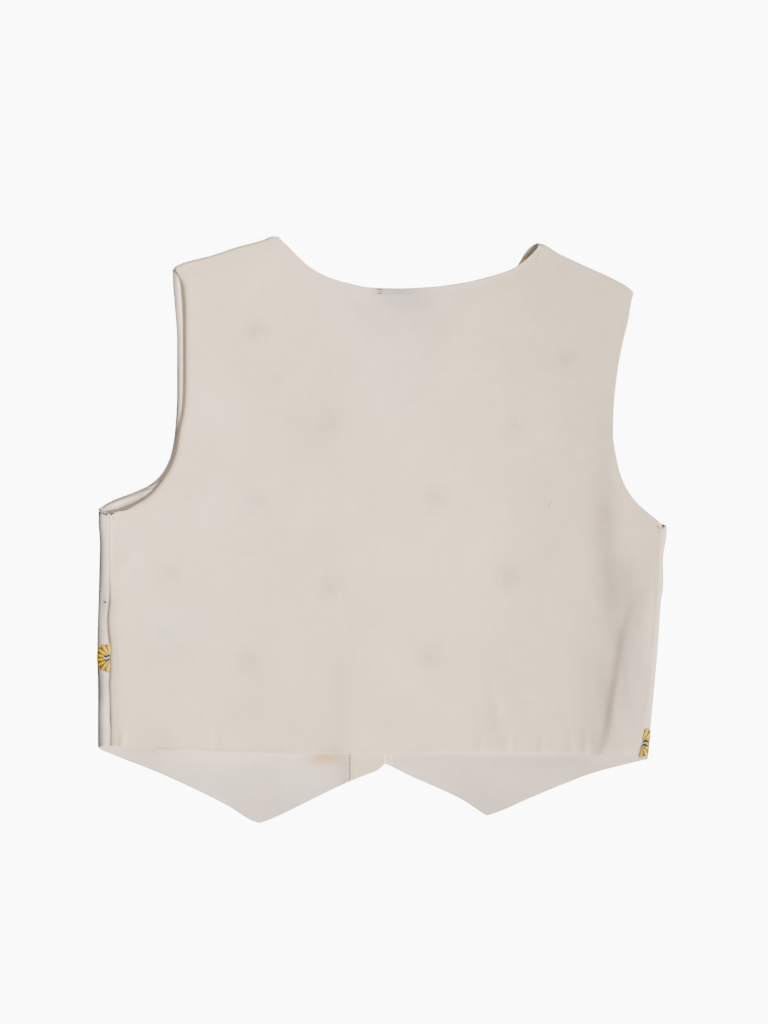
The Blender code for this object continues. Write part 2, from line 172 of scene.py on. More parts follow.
# Outlines of the sides, as seen from above.
LEFT_FOLD = table(
    "up across",
    (-121, -155.6), (-117, -156), (-88, -155.9), (-70, -156.3), (-30, -155.4), (-8.6, -154.9),
    (5, -155.6), (12.5, -155.5),
)
LEFT_SEAM = table(
    "up across",
    (-119, -148.9), (-94, -148.9), (-84, -149.2), (-79, -148.8), (-63, -148.8), (-58, -149.5),
    (-50, -149.9), (-39, -149.2), (-30, -148.9), (8.9, -149.3),
)
RIGHT_FOLD = table(
    "up across",
    (-126.1, 146.9), (-96.1, 149.6), (-72.4, 151.8), (-56, 153.1), (-42.7, 153.9), (-36, 154.7),
    (-31, 155.4), (-23, 155.4), (-16.5, 155.3), (-11.7, 155.9), (-5.1, 156.9), (-0.9, 157.4),
    (1, 157.2),
)
RIGHT_SEAM = table(
    "up across",
    (-125.4, 142.6), (-115.9, 143.4), (-85.6, 147.9), (-38.9, 152), (1, 154.1),
)

# The back's armholes, neckline and hem.
BACK_LEFT_ARMHOLE = table(
    "up across",
    (8.9, -149.3), (9.1, -146.2), (9.7, -142.4), (11.3, -138.4), (13.6, -134.3), (17.4, -128.8),
    (21.8, -124.3), (26.1, -121), (31.2, -117.5), (36.6, -114.8), (42.8, -112.8), (54.6, -110.8),
    (67.8, -108.4), (79.9, -107.8), (116.8, -107.8), (133.3, -108.8), (143.6, -113),
)
BACK_RIGHT_ARMHOLE = table(
    "up across",
    (1, 154.1), (3.6, 153), (7.6, 148.4), (12.8, 142.2), (20, 136.1), (28.2, 132), (38.1, 129.3),
    (52.4, 127.3), (66.7, 127.6), (78.5, 128.7), (90.4, 130.3), (102.5, 132.6), (114.6, 135.6),
    (124.5, 137.3), (128.9, 138.4),
)
NECKLINE = table(
    "across up",
    (-56.2, 159.4), (-52, 156.7), (-49.2, 153.8), (-46.8, 151.3), (-39.6, 144.7), (-32, 140.2),
    (-24.2, 137.1), (-15, 134.8), (-7.2, 133.2), (10.5, 132.6), (25.9, 133.3), (44, 135.5),
    (58.3, 138.8), (70.4, 142.6), (74.5, 144.6), (77.8, 147), (83.1, 151.6), (86.2, 155.2),
)
BACK_HEM = table(
    "across up",
    (-149, -119), (-128.7, -120.7), (-112.2, -121.5), (-57.2, -123.5), (32.5, -123.6), (95, -123.9),
    (143, -125.4),
)

# The shoulder folds, as seen from above.
LEFT_SHOULDER = table(
    "across up",
    (-114.8, 143.2), (-112.6, 145), (-109.5, 146.5), (-93, 150.9), (-77.6, 156), (-71.2, 157.6),
    (-64.6, 159.5), (-59.8, 161.3), (-55.6, 160.9),
)
RIGHT_SHOULDER = table(
    "across up",
    (85.4, 157.8), (88, 157.4), (97.9, 151.8), (113.3, 144.6), (128.7, 137.5), (136.6, 132.8),
    (138.9, 130.6),
)

# The fronts, as flat patterns: armholes, front and neck edges, and pointed hems.
LEFT_FRONT_ARMHOLE = table(
    "up across",
    (8.9, -161.3), (10.6, -157.3), (12, -154.3), (13.6, -152.2), (16.1, -147.4), (19.4, -138.5),
    (24.9, -126.8), (32.1, -119.9), (41.4, -115.7), (54.6, -113.5), (73.9, -112.4), (103.6, -112.4),
    (123.9, -113.7), (137, -114.7), (144, -114.8),
)
RIGHT_FRONT_ARMHOLE = table(
    "up across",
    (1, 159.1), (1.8, 157), (2.8, 155), (5.5, 150), (10.5, 141.5), (17.5, 135.2), (26, 130.8),
    (36, 128), (52, 125.9), (66.7, 126.2), (90.4, 128.9), (114.6, 134.1), (124.5, 136.8), (131, 138.4),
)
LEFT_FRONT_EDGE = table(
    "up across",
    (-129.2, 2.2), (50, 6), (60, 5.6), (70, 2.4), (89, -7.5), (111, -19), (131.6, -30.8), (146, -42.6),
    (156.4, -52), (160.9, -55.6), (164, -56.2),
)
RIGHT_FRONT_EDGE = table(
    "up across",
    (-127, -13.8), (40, -9.8), (52, -9.4), (66, -1.6), (82, 9.5), (107, 27), (128, 46), (137.5, 64),
    (143.6, 73.8), (147.4, 76.4), (150, 77.9), (153.2, 79.7), (156, 82.9), (157.8, 85.6), (160.5, 86.2),
)
LEFT_FRONT_HEM = (
    table(
        "across up",
        (-161.8, -118.7), (-157.5, -119.7), (-153.2, -121.9), (-149.9, -123.2), (-144.4, -125.5),
        (-124.3, -133.3), (-102.6, -143.1), (-83.6, -152.7), (-69.2, -161.2), (-66.6, -161.8),
    ),
    table(
        "across up",
        (-66.6, -161.8), (-64.2, -161), (-57.2, -158.2), (-41.8, -150.7), (-18.2, -139.3),
        (-9.1, -135.5), (-2.5, -133), (-1, -132.2), (0.7, -130.4), (2.2, -129.2),
    ),
)
RIGHT_FRONT_HEM = (
    table(
        "across up",
        (-13.8, -127), (2.2, -129.2), (6.1, -130.8), (10.7, -133.1), (15.4, -135.5), (29.7, -141.8),
        (44, -148.5), (53.4, -154.6), (57, -157.1), (58.7, -157.7),
    ),
    table(
        "across up",
        (58.7, -157.7), (66.6, -154.9), (82.2, -148), (99, -141), (116.6, -134.3), (133.7, -129.7),
        (145, -127), (150.6, -125.6),
    ),
)

# Soft creases of the back, as points along each: place across and up, half widths on the left and
# the right of its line, and lift. A crease is a trough where its lift is negative.
BACK_CREASES = {
    "right side fold": (
        (141, -34, 9, 2.6, 0), (139.4, -42, 9, 2.6, 0.55), (136.8, -52, 10, 3, 0.8),
        (134, -63, 11, 3, 1.05), (131.8, -76, 12, 2.9, 1.3), (129.4, -89, 12, 2.8, 1.5),
        (127.7, -102, 12, 2.8, 1.55), (125.2, -115, 12, 3, 1.35), (122.2, -124, 12, 3, 0.95),
    ),
    "right side approach": (
        (138, -44, 9, 8, 0), (132, -66, 11, 9, 0.4), (127.5, -95, 12, 10, 0.6),
        (121, -124, 12, 10, 0.35),
    ),
    "right side roll": (
        (146.5, -16, 5, 12, 0), (145.5, -44, 5, 12, 0.8), (141.5, -84, 5, 12, 1),
        (137, -120, 5, 12, 0.6),
    ),
    "right side swell": (
        (127, 86, 12, 8, 0), (128.5, 60, 12, 8, 0.5), (129.5, 20, 12, 7.5, 1), (130, -10, 11, 7.5, 1.1),
        (130, -36, 9, 7, 0.9), (130, -60, 8, 7, 0),
    ),
    "second side fold": ((136, -74, 2.5, 2, 0), (135.6, -79, 2.5, 2, 0.22), (136.6, -84, 2.5, 2, 0)),
    "first side wrinkle": ((142.4, -43, 3, 2, 0), (143.2, -51, 3, 2, 0.22), (142.2, -60, 3, 2, 0)),
    "second side wrinkle": (
        (134.6, -68, 3, 2.2, 0), (135.4, -78, 3, 2.2, 0.16), (137.6, -90, 3, 2.2, 0.2),
        (139.4, -99, 3, 2.2, 0),
    ),
    "left side slant": (
        (-133, -10, 2.4, 5.5, 0), (-137, -16, 2.4, 5.5, 0.3), (-142.5, -22.5, 2.4, 5, 0.38),
        (-147.4, -29, 2.2, 4, 0.2), (-149, -34, 2, 3, 0),
    ),
    "left hem crease": (
        (-90, -97, 2.4, 2.4, 0), (-90.6, -108, 2.4, 2.4, -0.12), (-91.2, -116, 2.4, 2.2, -0.24),
        (-91.2, -123, 2.4, 2.2, -0.16),
    ),
    "middle left crease": (
        (-20, -70, 6, 4, 0), (-20.5, -90, 6, 4, 0.22), (-19, -112, 6, 4, 0.2), (-19, -122, 6, 4, 0.1),
    ),
    "middle right crease": ((73.5, 74, 5, 3.5, 0), (74, 55, 5, 3.5, 0.18), (72.5, 32, 5, 3.5, 0)),
    "right hem crease": (
        (56, -70, 4.5, 2.5, 0), (60, -84, 4.5, 2.5, 0.22), (64, -102, 4, 2.2, 0.34),
        (66.5, -116, 3, 2, 0.3), (67, -123, 3, 2, 0.15),
    ),
    "upper left drift": ((-40, 96, 7, 7, 0), (-52, 84, 7, 7, 0.22), (-66, 66, 7, 7, 0)),
}

# Short puckers where the hem is drawn up: place, height of the upper end, slant, width and lift.
PUCKER_START = 0.25    # part of its length over which a pucker rises
PUCKER_AT_HEM = 0.45   # how far it has risen at the hem
HEM_PUCKERS = table(
    "across top slant width lift",
    (-142.5, -107, 0.2, 0.9, 0.62), (-140, -113, -0.4, 1.1, -0.24), (-91.4, -107, 0.3, 1.2, -0.22),
    (-131, -114, 0.4, 1, 0.22), (54.4, -105, 1.2, 1.2, 0.46), (69.5, -101, 0.6, 1.2, 0.55),
    (71.8, -107, 0.4, 0.9, -0.26), (88.2, -107.5, -0.4, 1.2, 0.46), (105, -101, -1.6, 1.2, 0.52),
    (112.2, -106, 1, 1.2, 0.58), (114.6, -110, 0.6, 0.9, -0.26), (26, -113, 0.4, 1.2, 0.22),
    (-54, -113, -0.6, 1.2, 0.2), (134, -112, 0.6, 1.1, 0.3),
)

# Soft creases of the fronts, on their flat patterns, mostly under the back.
LEFT_FRONT_CREASES = {
    "shoulder drag": (
        (-84, 128, 5, 4, 0), (-92, 100, 5, 4, 0.25), (-101, 66, 5, 4, 0.3), (-108, 40, 5, 4, 0),
    ),
    "waist drag": (
        (-44, -28, 5, 3.5, 0), (-49, -58, 5, 3.5, 0.28), (-57, -98, 5, 3.5, 0.18),
        (-60, -116, 5, 3.5, 0),
    ),
    "side drag": ((-120, -10, 4, 3, 0), (-127, -42, 4, 3, 0.26), (-131, -80, 4, 3, 0)),
}
RIGHT_FRONT_CREASES = {
    "shoulder drag": (
        (100, 120, 5, 4, 0), (108, 88, 5, 4, 0.28), (116, 52, 5, 4, 0.2), (121, 22, 5, 4, 0),
    ),
    "waist drag": ((50, -22, 4.5, 3.5, 0), (55, -62, 4.5, 3.5, 0.26), (60, -104, 4.5, 3.5, 0)),
    "side drag": ((124, -30, 4, 3, 0), (128, -66, 4, 3, 0.24), (126, -100, 4, 3, 0)),
}

# Soft tones of the cloth, many of them painted shade and painted highlights: place, half sizes, turn
# in degrees, and how much shade, warmth or cool grey they bring. The back's follow what lies under it.
BACK_TONES = table(
    "across up wide high turn shade warm cool",
    # broad painted shade towards the right
    (140, 45, 62, 150, 0, 0.16, 0, 0), (140, -90, 60, 90, 0, 0.1, 0, 0),
    # painted drifts of shade and light, some of them cooler
    (-40, 56, 15, 34, 0, 0.05, 0.1, 0), (-72, 104, 26, 30, 0, 0.05, 0.08, 0),
    (-26, 5, 9, 44, 0, 0.04, 0.04, 0), (-20, -100, 7, 30, 0, 0.06, 0.05, 0),
    (60, 104, 36, 34, 0, 0.05, 0.04, 0), (60, -98, 20, 30, 0, 0.05, 0.03, 0),
    (-72, -88, 9, 30, 0, 0.05, 0.06, 0), (-129, 14, 9, 9, 0, -0.04, 0, 0),
    (-100, -72, 8, 7, 0, 0.06, 0.05, 0), (119, -117, 7, 6, 0, 0.12, 0, 0.1),
    (138, -30, 10, 60, 0, 0.07, 0, 0.1), (-46, 98, 14, 13, 0, 0.07, 0, 0),
    (-24, 52, 14, 24, 0, 0.07, 0, 0), (34, 98, 26, 26, 0, -0.06, 0, 0),
    (-58, -82, 46, 36, 0, -0.05, 0, 0), (6, -82, 14, 30, 0, -0.06, 0, 0),
    (120, 75, 20, 80, 0, 0, 0, 0.35), (66, -108, 26, 12, 0, 0.04, 0, 0),
    (8, 90, 15, 22, 0, -0.07, 0, 0.35),
    # painted shade and light along the hem's creases
    (60.2, -107.5, 4, 15, 10, 0.12, 0, 0), (65.8, -100, 1.8, 10, 10, -0.07, 0, 0),
    # the right side fold's painted dark line and the painted shade beside it
    (124.4, -100, 3.4, 26, 8, 0.26, 0, 0.8), (131, -62, 3, 17, 12, 0.14, 0, 0.4),
    (115, -92, 10, 34, 4, 0.14, 0, 0.4), (122, 0, 7, 66, 0, 0.1, 0.02, 0),
    (137, -78, 11, 46, 6, 0.3, 0, 0.6), (121, 5, 8, 24, 0, 0.24, 0, 0.1),
    (129.8, -26, 9.6, 16, 0, 0.38, 0, 0.4), (116, -112, 9, 10, 0, 0.14, 0, 0.3),
    # the bare label by the left side seam, paler than the cloth round it, with a dark corner
    (-114.5, -53.5, 12, 9.5, 0, -0.05, 0, 0.9), (-117.5, -56, 5.5, 4.5, 20, 0.14, 0, 0.3),
    # painted highlights along the hem's edge, and painted shade in its creases and under it
    (92, -122.9, 44, 1.3, 0, -0.22, 0, 0), (40, -122.6, 16, 1.2, 0, -0.12, 0, 0),
    (-143.4, -115.5, 1, 6, 0, 0.34, 0.1, 0.1), (-121, -120.9, 9, 0.9, 0, 0.5, 0.14, 0),
    (-91, -122, 6, 1.3, 0, 0.18, 0, 0),
    # the neck label's shadow
    (8.6, 131.4, 12, 2.2, 0, 0.5, 0, 0.8), (12.5, 127, 15, 6.5, 0, 0.3, 0, 0.5),
    (14, 117, 17, 14, 0, 0.21, 0, 0.35), (-10, 119, 6, 6, 0, 0.12, 0, 0.2),
)
V_TONE_COOL = 0.52     # how much cooler the back is where only white lies under it
V_TONE_LIGHT = -0.01
V_TONE_BLUR = 34.0
V_FROM = 50.0
V_OVER = 30.0
# The left front: painted shadow under the back's hem and painted light along it, painted shade in the
# fold, darker and cooler cloth towards the point, and a flower's warm show-through.
FRONT_LEFT_TONES = table(
    "across up wide high turn shade warm cool",
    (-31.4, -125.6, 9, 3.4, 0, 0.04, 1.6, 0), (-26, -131, 8, 6, 0, 0.05, 0.14, 0),
    (-121.5, -121.9, 9, 0.9, 2, 0.34, 0.4, 0), (-66, -146, 34, 14, 0, 0.12, 0, 0.1),
    (-78, -125.5, 32, 3.6, 0, -0.18, 0.04, 0), (-136, -121.5, 8, 1.4, -4, 0.12, 0, 0.2),
    (-126, -128, 22, 7, -25, 0.14, 0, 0.1), (-66, -158, 20, 9, 0, 0.2, 0, 0.3),
    (-160.1, -41, 0.8, 6, 0, 0.5, 0, 0.2), (-162, -40, 9, 130, 0, 0, 0, 0.9),
)
# The right front: painted shadow under the back's hem and in the sliver by the neck, and darker and
# cooler cloth towards the point and along the fold.
FRONT_RIGHT_TONES = table(
    "across up wide high turn shade warm cool",
    (60, -140, 44, 16, 0, 0.22, 0, 0.16), (58, -154, 20, 9, 0, 0.22, 0, 0.65),
    (82, 153, 5, 9, -40, 1.1, 0, 0.6), (20, -128, 12, 5, 0, 0.02, 0.08, 0),
    (118, -130, 34, 8, 0, 0.3, 0.06, 0), (148, -60, 9, 130, 0, 0, 0, 0.2),
    (40, -125.4, 14, 2, 0, 0.16, 0, 0), (76, -127.6, 22, 2.4, 0, 0.2, 0, 0),
    (104, -127, 12, 2.2, 0, 0.14, 0, 0), (10, -126, 8, 3, 0, 0.14, 0, 0),
)


# The flowers' faint shadows through the back: sizes, strengths, and shade, warmth and coolness.
SHADOW_RADIUS = 8.4
SHADOW_CORE_WIDE = 4.6
SHADOW_CORE_HIGH = 3.4
SHADOW_LOBES = 0.1
SHADOW_PETALS = 0.13
SHADOW_EVEN = 0.2
SHADOW_GRAIN = 1.6
SHADOW_GRAIN_LENGTH = 5.0
SHADOW_CORE = 0.16
SHADOW_TINT = np.array([1.0, 0.10, 0.9])

# How dark the painted shade in the left side's fold gets at a height, and how far inwards.
LEFT_SIDE_SHADE = table(
    "up deep wide",
    (-121, 1.2, 3.6), (-114, 1.2, 3.6), (-102, 1.1, 3), (-88, 1.4, 3.9), (-70, 0.9, 3),
    (-55, 0.72, 4.2), (-42, 0.66, 4.2), (-25, 1.1, 3), (-8, 1, 2.8), (9, 0.66, 1.9),
)
# How dark the painted shade on each side of the left side seam is at a height. Near the
# armhole the seam lies flat and is painted paler instead.
LEFT_SEAM_SHADE = table(
    "up front back",
    (-119, 0.75, 1.3), (-110, 0.65, 1.35), (-96, 0.9, 1.15), (-84, 1.25, 1.05), (-62, 1.7, 1.15),
    (-50, 1.7, 1.05), (-40, 1.05, 1.2), (-33, 0.6, 0.6), (-26, -0.2, -0.1), (-8, -0.25, -0.2),
    (9, -0.25, -0.2),
)
# Strengths and half widths of the painted shade along the seams, folds and hems, and how much cooler
# that painted shade makes the cloth.
DEEPEST_SHADE = 1.7
SEAM_SHADE = 1.4
SEAM_SHADE_WIDTH = 0.9
BACK_SEAM_LINE = 0.95
BACK_SEAM_SHADE = 0.46
BACK_SEAM_FADE = 3.0
SIDE_LINE_SHADE = 0.45
SIDE_LINE_WIDTH = 0.65
RIGHT_LINE_SHADE = 0.75
RIGHT_LINE_WIDTH = 1.0
RIGHT_SHADE = 0.2
RIGHT_SHADE_WIDTH = 2.4
HEM_LINE_SHADE = 0.45
HEM_LINE_WIDTH = 0.5
SHADE_COOL = 0.7       # how much cooler the cloth gets in its shaded edges
FOLD_SHADE_TURN = 0.7  # how far over the cloth is turned where the fold's shade starts
# The painted shade inside the left front's armhole edge, dark at the edge and spreading a little.
ARMHOLE_SHADE_WIDTH = 1.5
ARMHOLE_SHADE_SPREAD = 5.0
ARMHOLE_SHADE_SHARE = 0.2
# The painted shade in the front outside the back's armhole, where the back's edge shades it: its
# distance from the edge, its half widths to either side, and the heights between which it rises,
# widens and falls.
ARMHOLE_UNDER_AT = 3.0
ARMHOLE_UNDER_INNER = 1.6
ARMHOLE_UNDER_OUTER = 1.4
ARMHOLE_UNDER_FROM = 9.2
ARMHOLE_UNDER_RISE = 5.0
ARMHOLE_UNDER_WIDE_TO = 14.0
ARMHOLE_UNDER_WIDE_OVER = 3.0
ARMHOLE_UNDER_TO = 44.0
ARMHOLE_UNDER_FALL = 24.0
# How dark the painted shade along the left front's armhole edge is at a height.
ARMHOLE_SHADE = table(
    "up deep",
    (9, 0.45), (11, 0.8), (12.5, 1.35), (16, 1.45), (20, 1.1), (24, 1), (28, 0.7), (33, 0.4),
    (38, 0.65), (45, 1.05), (50, 1.35), (56, 1.6), (68, 1.6), (84, 1.5), (100, 1), (114, 0.9), (130, 1),
)


# ---------------------------------------------------------------- curves and surfaces


def smooth_curve(x, y):
    """Return a function through a table's points that bends smoothly and never overshoots."""
    step = np.diff(x)
    slope = np.diff(y) / step
    tangent = np.concatenate([slope[:1], np.zeros(len(x) - 2), slope[-1:]])
    for i in range(1, len(x) - 1):
        before, after = slope[i - 1], slope[i]
        if before * after > 0:
            weight = 2 * step[i] + step[i - 1]
            weight_after = step[i] + 2 * step[i - 1]
            tangent[i] = (weight + weight_after) / (weight / before + weight_after / after)

    def value(at):
        at = np.clip(at, x[0], x[-1])
        i = np.clip(np.searchsorted(x, at, side="right") - 1, 0, len(x) - 2)
        t = (at - x[i]) / step[i]
        low = (2 * t**3 - 3 * t**2 + 1) * y[i] + (t**3 - 2 * t**2 + t) * step[i] * tangent[i]
        high = (3 * t**2 - 2 * t**3) * y[i + 1] + (t**3 - t**2) * step[i] * tangent[i + 1]
        return low + high

    return value


def across_at(sizes, column="across"):
    """Return a table's place across, or another column, as a function of the height."""
    return smooth_curve(sizes["up"], sizes[column])


def up_at(sizes):
    """Return a table's height up the garment as a function of the place across."""
    return smooth_curve(sizes["across"], sizes["up"])


def joined(before, after, place):
    """Return one function that changes from one to another at a place."""
    return lambda at: np.where(at < place, before(at), after(at))


def ease(share):
    """Rise smoothly from 0 to 1."""
    share = np.clip(share, 0, 1)
    return share * share * (3 - 2 * share)


def fade(distance, reach):
    """Fall smoothly from 1 at no distance to 0 at a reach."""
    return 1 - ease(distance / reach)


def bell(distance, width, power=2):
    """Fall from 1 at no distance like a bell of a half width, flatter on top for higher powers."""
    return np.exp(-((distance / width) ** power))


def droop(share):
    """Fall along a quarter circle, from 1 at an edge (0) to 0 where it ends (1)."""
    return 1 - np.sqrt(1 - (1 - share) ** 2)


def whole_hem(parts):
    """Return a front's hem, whose two parts meet at its point."""
    return joined(*[up_at(part) for part in parts], parts[1]["across"][0])


left_fold = across_at(LEFT_FOLD)
right_fold = across_at(RIGHT_FOLD)
left_seam = across_at(LEFT_SEAM)
right_seam = across_at(RIGHT_SEAM)
left_shoulder = up_at(LEFT_SHOULDER)
right_shoulder = up_at(RIGHT_SHOULDER)
left_front_edge = across_at(LEFT_FRONT_EDGE)
right_front_edge = across_at(RIGHT_FRONT_EDGE)
left_armhole = across_at(BACK_LEFT_ARMHOLE)
right_armhole = across_at(BACK_RIGHT_ARMHOLE)
left_front_armhole = across_at(LEFT_FRONT_ARMHOLE)
side_shade = across_at(LEFT_SIDE_SHADE, "deep")
side_shade_width = across_at(LEFT_SIDE_SHADE, "wide")
armhole_shade = across_at(ARMHOLE_SHADE, "deep")
seam_shade_front = across_at(LEFT_SEAM_SHADE, "front")
seam_shade_back = across_at(LEFT_SEAM_SHADE, "back")
back_hem = up_at(BACK_HEM)
neckline = up_at(NECKLINE)


def crease_lift(across, up, creases):
    """Return the height that soft creases add, each along its own line of points."""
    total = np.zeros_like(across)
    for points in creases.values():
        nearest = np.full_like(across, np.inf)
        lift = np.zeros_like(across)
        for first, last in zip(points, points[1:]):
            step_across, step_up = last[0] - first[0], last[1] - first[1]
            length = math.hypot(step_across, step_up)
            aside, ahead = across - first[0], up - first[1]
            share = np.clip((aside * step_across + ahead * step_up) / length**2, 0, 1)
            on_left = step_across * ahead - step_up * aside > 0
            distance = np.hypot(aside - share * step_across, ahead - share * step_up)
            width = np.where(on_left, first[2], first[3]) * (1 - share)
            width = width + np.where(on_left, last[2], last[3]) * share
            height = first[4] + (last[4] - first[4]) * ease(share)
            lift = np.where(distance < nearest, height * bell(distance, width), lift)
            nearest = np.minimum(nearest, distance)
        total += lift
    return total


def pucker_lift(across, up):
    """Return the height of the short puckers that run up from the back's hem."""
    lift = np.zeros_like(across)
    for place, top, slant, width, height in zip(*HEM_PUCKERS.values()):
        hem = back_hem(place)
        share = (up - hem) / (top - hem)
        centre = place + slant * share
        along = ease(share / PUCKER_START + PUCKER_AT_HEM) * fade(share, 1)
        lift += height * along * bell(across - centre, width)
    return lift


def ripple(across, up, length, seed):
    """Return a gentle uneven wave between about -1 and 1."""
    turn = np.random.default_rng(seed).uniform(0, 2 * math.pi, 6)
    x, y = across * 2 * math.pi / length, up * 2 * math.pi / length
    wave = np.sin(0.61 * x + 0.37 * y + turn[0]) + np.sin(1.07 * x - 0.42 * y + turn[1])
    wave += 0.7 * np.sin(0.23 * x + 0.91 * y + turn[2]) + 0.5 * np.sin(1.9 * x + 0.7 * y + turn[3])
    return (wave + 0.4 * np.sin(-1.3 * x + 1.7 * y + turn[4])) / 3.2


def front_ripple(across, up, seed):
    """Return the slight unevenness of a front that lies on the table."""
    return FRONT_RIPPLE * (1 + ripple(across, up, FRONT_RIPPLE_LENGTH, seed))


def hem_line(across, up, hems):
    """Return the painted shade along the thin turned edge of a front's hem."""
    hem = whole_hem(hems)
    slope = hem(across + 0.5) - hem(across - 0.5)
    return HEM_LINE_SHADE * bell((up - hem(across)) / np.hypot(1, slope), HEM_LINE_WIDTH)


class Lie:
    """The laid garment's surfaces, for one thickness of cloth. All are middle surfaces."""

    def __init__(self, cloth, crease):
        self.cloth = cloth
        self.crease = crease
        self.on_table = THREAD_ROOM + cloth / 2
        self.side_top = SIDE_FACE - cloth / 2
        self.shoulder_top = SHOULDER_FACE - cloth / 2
        self.side_radius = (self.side_top - self.on_table) / 2
        self.shoulder_radius = (self.shoulder_top - self.on_table) / 2

    def side_centre(self, side, up):
        """Return the line that the side fold on the left (-1) or right (1) turns about."""
        inset = self.cloth / 2 + self.side_radius
        return left_fold(up) + inset if side < 0 else right_fold(up) - inset

    def shoulder_centre(self, side, across):
        """Return the line that a shoulder's fold turns about."""
        shoulder = left_shoulder if side < 0 else right_shoulder
        return shoulder(across) - self.cloth / 2 - self.shoulder_radius

    def shoulder_end(self, side, across):
        """Return where a front ends over its shoulder, on its flat pattern."""
        return self.shoulder_centre(side, across) + math.pi * self.shoulder_radius

    def seam_reach(self, side, up):
        """Return where the side seam falls on a front's flat pattern."""
        centre = self.side_centre(side, up)
        seam = left_seam(up) if side < 0 else right_seam(up)
        return centre + side * (math.pi * self.side_radius + side * (centre - seam))

    def folded(self, side, across, up, height):
        """Return a front on the table, folded round its side and its shoulder."""
        centre = self.side_centre(side, up)
        beyond = side * (across - centre)
        shape = (LEFT_ROUND, FOLD_TURN) if side < 0 else (RIGHT_ROUND, self.side_radius)
        reach, rise, inward = fold_over(beyond, self.side_radius, *shape)
        across = np.where(beyond > 0, centre + side * reach, across)
        height = height * np.where(beyond > 0, inward, 1)
        centre = self.shoulder_centre(side, across)
        beyond = up - centre
        shape = (SHOULDER_ROUND, self.shoulder_radius)
        reach, shoulder_rise, inward = fold_over(beyond, self.shoulder_radius, *shape)
        up = np.where(beyond > 0, centre + reach, up)
        height = height * np.where(beyond > 0, np.maximum(inward, 0), 1)
        return np.stack([across, up, self.on_table + rise + shoulder_rise + height], axis=-1)

    def left_front(self, across, up):
        """Return the left front, which steps up onto the right one."""
        start = right_front_edge(up) - STEP_CLEAR - STEP_RAMP
        step = STEP_RISE * ease((across - start) / STEP_RAMP)
        relief = crease_lift(across, up, LEFT_FRONT_CREASES) + front_ripple(across, up, 3)
        groove = seam_groove(across - self.seam_reach(-1, up), up, FRONT_GROOVE_WIDTH)
        inside = from_edge(left_front_armhole, across, up)
        roll = ARMHOLE_ROLL * bell(inside - ARMHOLE_ROLL_AT, ARMHOLE_ROLL_WIDTH)
        roll = roll * ease((up - LEFT_UNDERARM) / ARMHOLE_START)
        return self.folded(-1, across, up, step + self.crease * relief + groove + roll)

    def left_front_shade(self, across, up):
        """Return the painted shade of the left front's fold, seam, armhole edge and hem, and beside the
        back's armhole.
        """
        beyond = self.side_centre(-1, up) - across
        reach, _, turned = fold_over(beyond, self.side_radius, LEFT_ROUND, FOLD_TURN)
        inward = (self.side_radius - reach) * (beyond > math.pi / 2 * self.side_radius)
        broad = side_shade(up) * bell(inward, side_shade_width(up), 3)
        line = SIDE_LINE_SHADE * bell(inward, SIDE_LINE_WIDTH)
        fold = (broad + line) * ease(FOLD_SHADE_TURN - turned) * (up < LEFT_UNDERARM + 1)
        inside = from_edge(left_front_armhole, across, up)
        spread = ARMHOLE_SHADE_SHARE * fade(inside, ARMHOLE_SHADE_SPREAD)
        edge = armhole_shade(up) * (bell(inside, ARMHOLE_SHADE_WIDTH, 3) + spread)
        seam = SEAM_SHADE * bell(across - self.seam_reach(-1, up), SEAM_SHADE_WIDTH)
        place = np.where(beyond > 0, self.side_centre(-1, up) - reach, across)
        outside = np.maximum(-from_edge(left_armhole, place, up), 0)
        wider = ease((ARMHOLE_UNDER_WIDE_TO - up) / ARMHOLE_UNDER_WIDE_OVER)
        outer = ARMHOLE_UNDER_OUTER * (1 + wider)
        width = np.where(outside < ARMHOLE_UNDER_AT, ARMHOLE_UNDER_INNER, outer)
        under = ease((up - ARMHOLE_UNDER_FROM) / ARMHOLE_UNDER_RISE)
        under = under * ease((ARMHOLE_UNDER_TO - up) / ARMHOLE_UNDER_FALL)
        under = under * bell(outside - ARMHOLE_UNDER_AT, width)
        edges = (edge + under) * (up > LEFT_UNDERARM) + hem_line(across, up, LEFT_FRONT_HEM)
        return np.minimum(fold + edges + seam * seam_shade_front(up), DEEPEST_SHADE)

    def right_front_shade(self, across, up):
        """Return the painted shade along the right front's fold, which would else catch the light, and
        along its hem.
        """
        beyond = across - self.side_centre(1, up)
        inward = np.maximum(beyond - math.pi / 2 * self.side_radius, 0)
        turned = ease(beyond / self.side_radius)
        hem = hem_line(across, up, RIGHT_FRONT_HEM)
        line = RIGHT_LINE_SHADE * bell(inward, RIGHT_LINE_WIDTH)
        return hem + turned * (line + RIGHT_SHADE * bell(inward, RIGHT_SHADE_WIDTH))

    def right_front(self, across, up):
        """Return the right front."""
        relief = crease_lift(across, up, RIGHT_FRONT_CREASES) + front_ripple(across, up, 4)
        return self.folded(1, across, up, self.crease * relief)

    def back_top(self, across):
        """Return the back's upper edge: two shoulder seams and the neckline between them."""
        inset = self.cloth / 2 + self.shoulder_radius + SEAM_GAP
        neck_left, neck_right = NECKLINE["across"][[0, -1]]
        shoulder = np.where(across < neck_left, left_shoulder(across), right_shoulder(across))
        on_neck = (across >= neck_left) & (across < neck_right)
        return np.where(on_neck, neckline(across), shoulder - inset)

